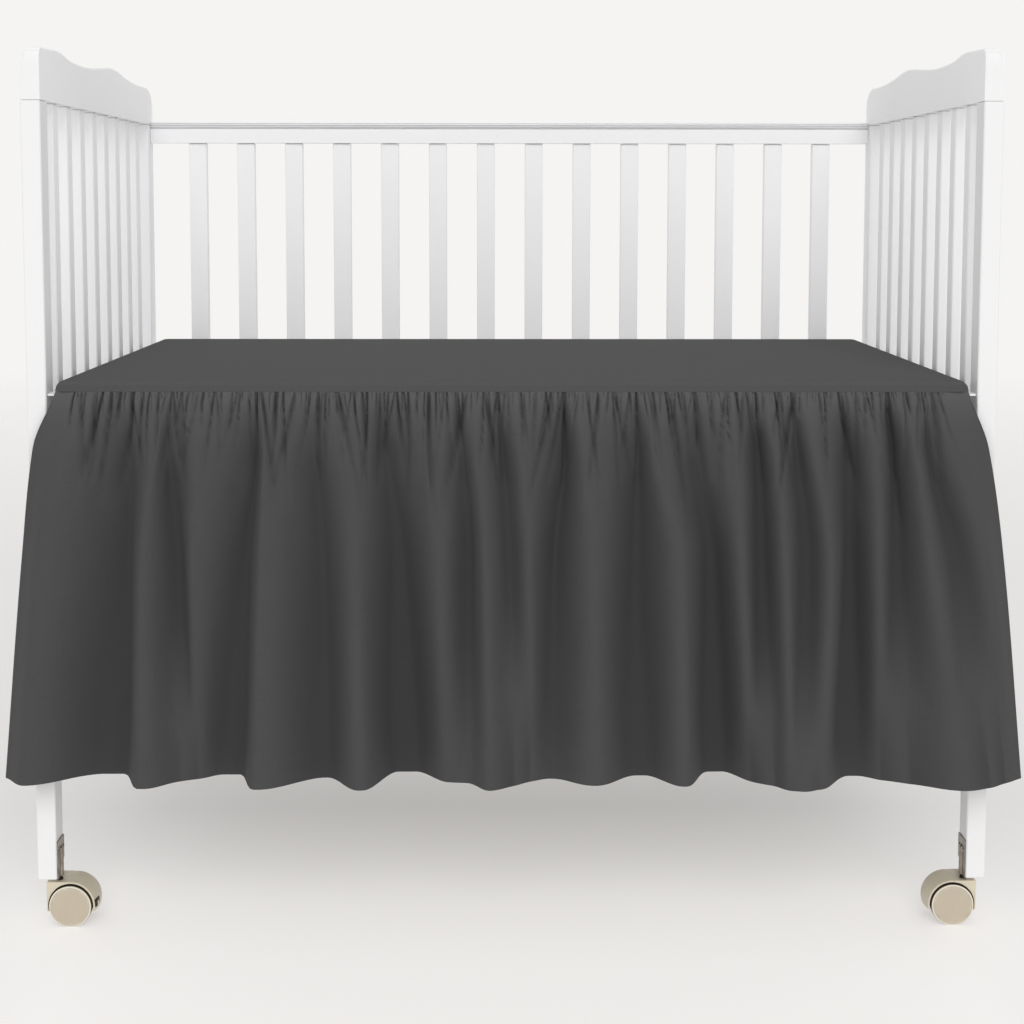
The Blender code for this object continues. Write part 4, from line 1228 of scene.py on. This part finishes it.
def make_skirt():
    """The platform panel and the four drops sewn to it."""
    platform_panel()
    front_drop()
    low, high = SIDE_DROP
    # Node, where its seam starts, the ways along it and out from it, its length, folds, mesh columns, seed
    for node, start, along_way, outward, length, folds, columns, seed in (
        ("skirt_left", (-PLATFORM_HALF_LENGTH, low), (0, 1, 0), (-1, 0, 0), high - low, SIDE_FOLDS, 360, 20),
        ("skirt_right", (PLATFORM_HALF_LENGTH, low), (0, 1, 0), (1, 0, 0), high - low, SIDE_FOLDS, 360, 22),
        ("skirt_back", (-BACK_DROP_HALF, PLATFORM_BACK), (1, 0, 0), (0, 1, 0), 2 * BACK_DROP_HALF,
         BACK_FOLDS, 640, 33),
    ):
        hidden_drop(node, crib(*start, SEAM), along_way, outward, length, folds, columns, seed)


# ---- Crib woodwork ----

def smooth_line(points, steps):
    """A smooth line through the points, with so many steps from one to the next."""
    points = np.array(points, float)
    spans = np.diff(points, axis=0)
    lengths = np.hypot(*spans.T)[:, None]
    ways = spans / lengths
    turns = (ways[:-1] * lengths[1:] + ways[1:] * lengths[:-1]) / (lengths[:-1] + lengths[1:])
    turns = np.vstack((ways[:1], turns, ways[-1:]))
    line = []
    for i, length in enumerate(lengths):
        for t in np.arange(steps) / steps:
            rise = s_curve(t)
            lean = turns[i] * t * (1 - t) ** 2 - turns[i + 1] * t * t * (1 - t)
            line.append(points[i] * (1 - rise) + points[i + 1] * rise + length * lean)
    line.append(points[-1])
    return line


def make_end_cap(x_name, side):
    """The scalloped board over an end, well rounded along its outer top edge, its front faces given the front
    posts' duller copy of the white paint, painted shade."""
    low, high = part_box(f"end_cap_{x_name}")
    inner, outer = (low.x, high.x) if side > 0 else (high.x, low.x)
    top_line = smooth_line([(0, CAP_ENDS[0]), *CAP_PROFILE, (CAP_LENGTH, CAP_ENDS[1])], CAP_STEPS)
    rim = [np.array((0.0, 0.0)), *top_line, np.array((CAP_LENGTH, 0.0))]
    points = []
    for i, place in enumerate(rim):
        way = rim[min(i + 1, len(rim) - 1)] - rim[max(i - 1, 0)]
        way = way / np.hypot(*way)
        inward = np.array((way[1], -way[0]))
        for near, across, (least, rounder, steps) in zip((inner, outer), (side, -side), CAP_EDGES):
            radius = least + rounder * eased(place[1], *CAP_ON_TOP)
            section = []
            for step in range(steps + 1):
                turn = math.pi / 2 * step / steps
                back, height = place + inward * radius * (1 - math.sin(turn))
                x = near + across * radius * MM * (1 - math.cos(turn))
                section.append((x, low.y + back * MM, low.z + height * MM))
            points += section if near == inner else section[::-1]
    count = len(points) // len(rim)
    last = (len(rim) - 1) * count
    faces = grid_faces(len(rim), count)
    faces += [range(0, last + 1, count), range(count - 1, last + count, count)]
    faces.append([*range(count), *range(last + count - 1, last - 1, -1)])
    mesh = face_outwards(mesh_from(f"cap_{x_name}", points, faces), sharp=SHARP_EDGE)
    cap = add_piece(f"cap_{x_name}", mesh, "paint", (f"end_cap_{x_name}",))
    # The cap's front faces get the duller copy of the white paint: painted shade
    mesh.materials.append(LOOKS["post painted shade"][1])
    for polygon in mesh.polygons:
        polygon.material_index = int(polygon.normal.y < CAP_FRONT)
    shade_evenly(cap)


def make_back_rail():
    """The back's top rail with its run of mouldings."""
    low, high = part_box("back_rail")
    face = low.y + RAIL_FORWARD
    section = [(face - forward * MM, low.z + height * MM) for forward, height in RAIL_SECTION]
    mesh = prism("rail_back_top", section, low.x, high.x, lambda y, x, z: (x, y, z))
    round_edges(add_piece("rail_back_top", mesh, "paint", ("back_rail",)), 0.3 * MM, segments=2, angle=30)


# ---- Casters ----

def arc_points(radius, first, last, steps):
    """Points of an arc about the wheel's middle, (inboard, up)."""
    turns = [first + (last - first) * i / steps for i in range(steps + 1)]
    return [(radius * math.cos(turn), radius * math.sin(turn)) for turn in turns]


def hood_outline(radius, flat):
    """The hood's outside seen from the front: (inboard, up) about the wheel's middle, from the inboard
    lower end over the top to the square outboard corner and down."""
    low, top = HOOD_LOW - WHEEL_MIDDLE, HOOD_TOP - WHEEL_MIDDLE
    last = math.pi - math.asin(min(0.999, top / radius))
    outline = arc_points(radius, math.asin(low / radius), last, ARC_STEPS)
    start, past, shoulder = outline[-1][0], -flat + HOOD_CORNER, top - HOOD_CORNER
    outline += [(start + (past - start) * i / 6, top) for i in range(1, 6)]
    for i in range(5):
        turn = math.pi / 2 * i / 4
        outline.append((past - HOOD_CORNER * math.sin(turn), shoulder + HOOD_CORNER * math.cos(turn)))
    outline += [(-flat, shoulder + (low - shoulder) * i / 8) for i in range(1, 9)]
    return outline


def hood_shell(place_point):
    """The hood over both wheels: a shell that swells from its two thin rims to its middle."""
    half = CASTER_DEPTH / 2 - BRIM_INSET
    stations = []
    for inset, smaller, opened in HOOD_SECTION:
        flat = HOOD_FLAT - max(0.0, smaller) * MM
        stations.append((inset * MM - half, HOOD_RIM_RADIUS - smaller * MM, flat, HOOD_INSIDE + opened * MM))
    stations += [(-back, *wall) for back, *wall in reversed(stations[:-1])]
    points, faces = [], []
    for back, radius, flat, inside in stations:
        outline = hood_outline(radius, flat)
        count = len(outline)
        start = math.asin((HOOD_LOW - WHEEL_MIDDLE) / inside)
        outline += arc_points(inside, start, math.pi - start, count - 1)
        points += [place_point(u, back, w) for u, w in outline]
    ring = 2 * count
    for here in range(0, (len(stations) - 1) * ring, ring):
        there = here + ring
        for i in range(count - 1):
            faces.append((here + i, here + i + 1, there + i + 1, there + i))
            a, b = here + count + i, there + count + i
            faces.append((a, b, b + 1, a + 1))
        faces.append((here, there, there + count, here + count))
        faces.append((here + count - 1, here + ring - 1, there + ring - 1, there + count - 1))
    for end, turned in ((0, 1), ((len(stations) - 1) * ring, -1)):
        faces += [(a, a + count, a + count + 1, a + 1)[::turned] for a in range(end, end + count - 1)]
    return face_outwards(mesh_from("shell", points, faces), sharp=SHARP_EDGE)


def mark_light_and_shade(mesh, centre, **masks):
    """Marks the points that get painted shade in the gap under the hood and those that get a painted
    highlight, each by a test of a point's radius from the axle and its depth behind the nearer wheel's face,
    in millimetres."""
    for label, is_marked in masks.items():
        marks = []
        for vertex in mesh.vertices:
            away = vertex.co - centre
            radius, behind = math.hypot(away.x, away.z) / MM, (CASTER_DEPTH / 2 - abs(away.y)) / MM
            marks.append(float(is_marked(radius, behind)))
        mark(mesh, label, marks)


def make_wheels(place, centre, depths):
    """Twin wheels with a beaded face and rounded shoulders, standing on a small worn flat, and the axle."""
    turn = Matrix.Rotation(math.radians(90), 3, "X")
    meshes = []
    for face, way in zip(depths, (1, -1)):
        profile = [(radius * MM, -way * depth * MM) for radius, depth in WHEEL_PROFILE]
        meshes.append(turned_mesh("disc", profile, Vector((centre.x, face, centre.z)), turn, WHEEL_STEPS))
    axle_length = CASTER_DEPTH - 2 * AXLE_INSET
    axle = [(0.0, 0.0), (AXLE_RADIUS, 0.0), (AXLE_RADIUS, axle_length), (0.0, axle_length)]
    axle_end = Vector((centre.x, depths[1] - AXLE_INSET, centre.z))
    meshes.append(turned_mesh("axle", axle, axle_end, turn, ROUND_STEPS))
    mesh = joined(f"wheels_{place}", meshes)
    mark_light_and_shade(
        mesh, centre,
        in_gap=lambda radius, behind: radius > WHEEL_PAINTED_SHADE[0] and behind > WHEEL_PAINTED_SHADE[1],
        rubbed=lambda radius, behind: WHEEL_PAINTED_HIGHLIGHT[0] < radius < WHEEL_PAINTED_HIGHLIGHT[1] and behind < WHEEL_PAINTED_HIGHLIGHT[2],
    )
    for vertex in mesh.vertices:
        vertex.co.z = max(vertex.co.z, 0.0)
    for polygon in mesh.polygons:
        polygon.use_smooth = True
    add_piece(f"wheels_{place}", mesh, "plastic", (f"caster_wheels_{place}",))


def make_bracket(place, side, post_face):
    """The steel bracket on the post's inner face: a plate with a cut lower corner, a half-round channel
    over the stem and two screws."""
    post_side = side * (POST_INNER - PLATE_GAP)

    def at(back, out, up):
        """A point behind the post's front face, out from its inner face, and up."""
        return crib(post_side - side * out, post_face + back, up)

    # The channel's rows: (height, share of its section), closed at its top by a quarter round
    rows = [(BRACKET_LOW, 1.0)]
    for turn in (math.pi / 2 * step / CHANNEL_END_STEPS for step in range(CHANNEL_END_STEPS + 1)):
        rows.append((CHANNEL_TOP - CHANNEL_END * (1 - math.sin(turn)), math.cos(turn)))
    points = []
    for up, share in rows:
        for turn in (math.pi * i / CHANNEL_STEPS for i in range(CHANNEL_STEPS + 1)):
            out = CHANNEL_PROUD * math.sin(turn) * max(share, CHANNEL_LEAST[0])
            back = STEM_BACK - CHANNEL_HALF * math.cos(turn) * max(share, CHANNEL_LEAST[1])
            points.append(at(back, PLATE_THICK - SUNK_IN_PLATE + out, up))
    across = CHANNEL_STEPS + 1
    faces = grid_faces(len(rows), across) + [range(across), range(len(points) - across, len(points))]
    meshes = [prism("plate", BRACKET_OUTLINE, 0.0, PLATE_THICK, at), mesh_from("channel", points, faces)]
    inboard = Vector((-side, 0, 0)).to_track_quat("Z", "Y").to_matrix()
    for back, up in BRACKET_SCREWS:
        head = [(radius * MM, height * MM) for radius, height in SCREW_HEAD]
        meshes.append(turned_mesh("screw", head, at(back, PLATE_THICK - 0.05 * MM, up), inboard, 20))
    mesh = face_outwards(joined(f"bracket_{place}", meshes))
    bracket = add_piece(f"bracket_{place}", mesh, "steel", (f"caster_plate_{place}",))
    round_edges(bracket, 0.35 * MM, segments=2, angle=50)


def make_caster(place, side, post_face):
    """One caster: twin wheels, the hood with the web between them, the stem and its bracket."""
    face = post_face + WHEEL_FRONT
    rear = face + CASTER_DEPTH
    centre = crib(side * ((POST_INNER + POST_OUTER) / 2 - WHEEL_INBOARD), (face + rear) / 2, WHEEL_MIDDLE)
    make_wheels(place, centre, (crib(0, face, 0).y, crib(0, rear, 0).y))

    def at(u, back, w):
        """A point inboard of, behind and above the middle of the axle."""
        return (centre.x - side * u, centre.y + back, centre.z + w)

    web_radius = HOOD_INSIDE + 1 * MM
    start = math.asin((HOOD_LOW - WHEEL_MIDDLE + 1 * MM) / web_radius)
    web = prism("web", arc_points(web_radius, start, math.pi - start, ARC_STEPS), -WEB_HALF, WEB_HALF, at)
    shell = joined(f"hood_{place}", [hood_shell(at), web])
    inner_wall, behind_rim = HOOD_INSIDE / MM + 1.2, BRIM_INSET / MM + 0.3
    # Painted shade on the hood's inner wall, over the wheels
    mark_light_and_shade(shell, centre, in_gap=lambda radius, behind: radius < inner_wall and behind > behind_rim)
    # The hood gets the paler copy of the beige plastic: painted light
    shade_evenly(add_piece(f"hood_{place}", shell, "hood plastic painted light", (f"caster_hood_{place}",)))
    low, top, collar = HOOD_TOP - 3 * MM, POST_BOTTOM - 0.1 * MM, STEM_RADIUS + STEM_COLLAR
    stem = [
        (0.0, low), (STEM_RADIUS, low), (STEM_RADIUS, HOOD_TOP + 0.4 * MM), (collar, HOOD_TOP + 0.6 * MM),
        (collar, HOOD_TOP + 2.0 * MM), (STEM_RADIUS, HOOD_TOP + 2.3 * MM), (STEM_RADIUS, top), (0.0, top),
    ]
    foot = crib(side * (POST_INNER + STEM_INBOARD), post_face + STEM_BACK, 0)
    mesh = turned_mesh(f"stem_{place}", stem, foot, Matrix.Identity(3), ROUND_STEPS)
    add_piece(f"stem_{place}", mesh, "dark steel")
    make_bracket(place, side, post_face)
    if side < 0:
        make_brake(place, at)


def make_brake(place, at):
    """The brake of the left casters: a dark steel block in the hood's inboard wall, painted shade that stands
    in for the shade in the brake's slot, and the tab inside it.
    """
    # Painted shade: a dark block where the slot's recess lies in shade
    slot = prism(f"brake_slot_painted_shade_{place}", BRAKE_SLOT, *BRAKE_SLOT_DEPTHS, at)
    round_edges(add_piece(f"brake_slot_painted_shade_{place}", slot, "dark steel"), 0.8 * MM, segments=3, angle=40)
    tab = prism(f"brake_tab_{place}", BRAKE_TAB, *BRAKE_TAB_DEPTHS, at)
    round_edges(add_piece(f"brake_tab_{place}", tab, "ivory plastic"), 0.7 * MM, segments=3, angle=40)


# ---- Floor, light and camera ----

def make_floor():
    """The studio's floor."""
    half = FLOOR_HALF
    corners = [(-half, -half, 0), (half, -half, 0), (half, half, 0), (-half, half, 0)]
    mesh = mesh_from("floor", corners, [(0, 1, 2, 3)], smooth=False)
    floor = bpy.data.objects.new("floor", mesh)
    bpy.context.scene.collection.objects.link(floor)
    mesh.materials.append(studio_floor())


def make_light():
    """A dome that is brighter at the horizon, a plain backdrop for the camera, and a wide key light."""
    world = bpy.data.worlds.new("studio")
    world.use_nodes = True
    wires = Wiring(world.node_tree)
    dome = world.node_tree.nodes["Background"]
    dome.inputs["Color"].default_value = DOME
    sky = wires.add("ShaderNodeTexCoord")
    height = wires.add("ShaderNodeSeparateXYZ")
    wires.join(sky.outputs["Generated"], height.inputs[0])
    wires.join(wires.ranged(height.outputs["Z"], 0.0, 1.0, DOME_LOW, DOME_HIGH), dome.inputs["Strength"])
    backdrop = wires.add("ShaderNodeBackground")
    backdrop.inputs["Color"].default_value = STUDIO
    seen = wires.add("ShaderNodeLightPath")
    either = wires.add("ShaderNodeMixShader")
    shown = (seen.outputs["Is Camera Ray"], dome.outputs[0], backdrop.outputs[0])
    for output, place in zip(shown, either.inputs):
        wires.join(output, place)
    wires.join(either.outputs[0], world.node_tree.nodes["World Output"].inputs["Surface"])
    bpy.context.scene.world = world
    key = bpy.data.lights.new("key", "SUN")
    key.angle = math.radians(KEY_SPREAD)
    key.energy = KEY_STRENGTH
    lamp = bpy.data.objects.new("key", key)
    bpy.context.scene.collection.objects.link(lamp)
    lamp.location = crib(*(KEY_DISTANCE * part for part in KEY_FROM))
    lamp.rotation_euler = Vector(KEY_FROM).to_track_quat("Z", "Y").to_euler()
    bpy.context.scene.view_settings.view_transform = "Standard"


def make_camera():
    """The camera, at the photograph's place."""
    pitch, yaw = math.radians(CAMERA_PITCH), math.radians(CAMERA_YAW)
    ahead = Vector((math.sin(yaw) * math.cos(pitch), math.cos(yaw) * math.cos(pitch), -math.sin(pitch)))
    data = bpy.data.cameras.new("camera")
    data.sensor_width = CAMERA_SENSOR
    data.lens = CAMERA_LENS
    data.shift_y = CAMERA_SHIFT
    data.clip_end = CAMERA_REACH
    camera = bpy.data.objects.new("camera", data)
    bpy.context.scene.collection.objects.link(camera)
    turn = ahead.to_track_quat("-Z", "Y").to_matrix() @ Matrix.Rotation(math.radians(CAMERA_ROLL), 3, "Z")
    camera.matrix_world = Matrix.Translation(crib(*CAMERA_PLACE)) @ turn.to_4x4()
    bpy.context.scene.camera = camera


make_camera()
make_floor()
make_light()

plain_looks = {slot: material for slot, material in reversed(LOOKS.values())}
slots = {part["node"]: part["material_slot"] for part in frame["record"]["subparts"]}
for node_name, node in frame["nodes"].items():
    # The front posts get the duller copy of the white paint: painted shade
    look = LOOKS["post painted shade"][1] if node_name.startswith("post_front") else plain_looks[slots[node_name]]
    node.data.materials.clear()
    node.data.materials.append(look)

make_skirt()
for x_name, side in (("left", -1), ("right", 1)):
    make_end_cap(x_name, side)
make_back_rail()
for y_name, post_face in (("front", 0.0), ("back", END_DEPTH - POST_DEPTH)):
    for x_name, side in (("left", -1), ("right", 1)):
        make_caster(f"{y_name}_{x_name}", side, post_face)
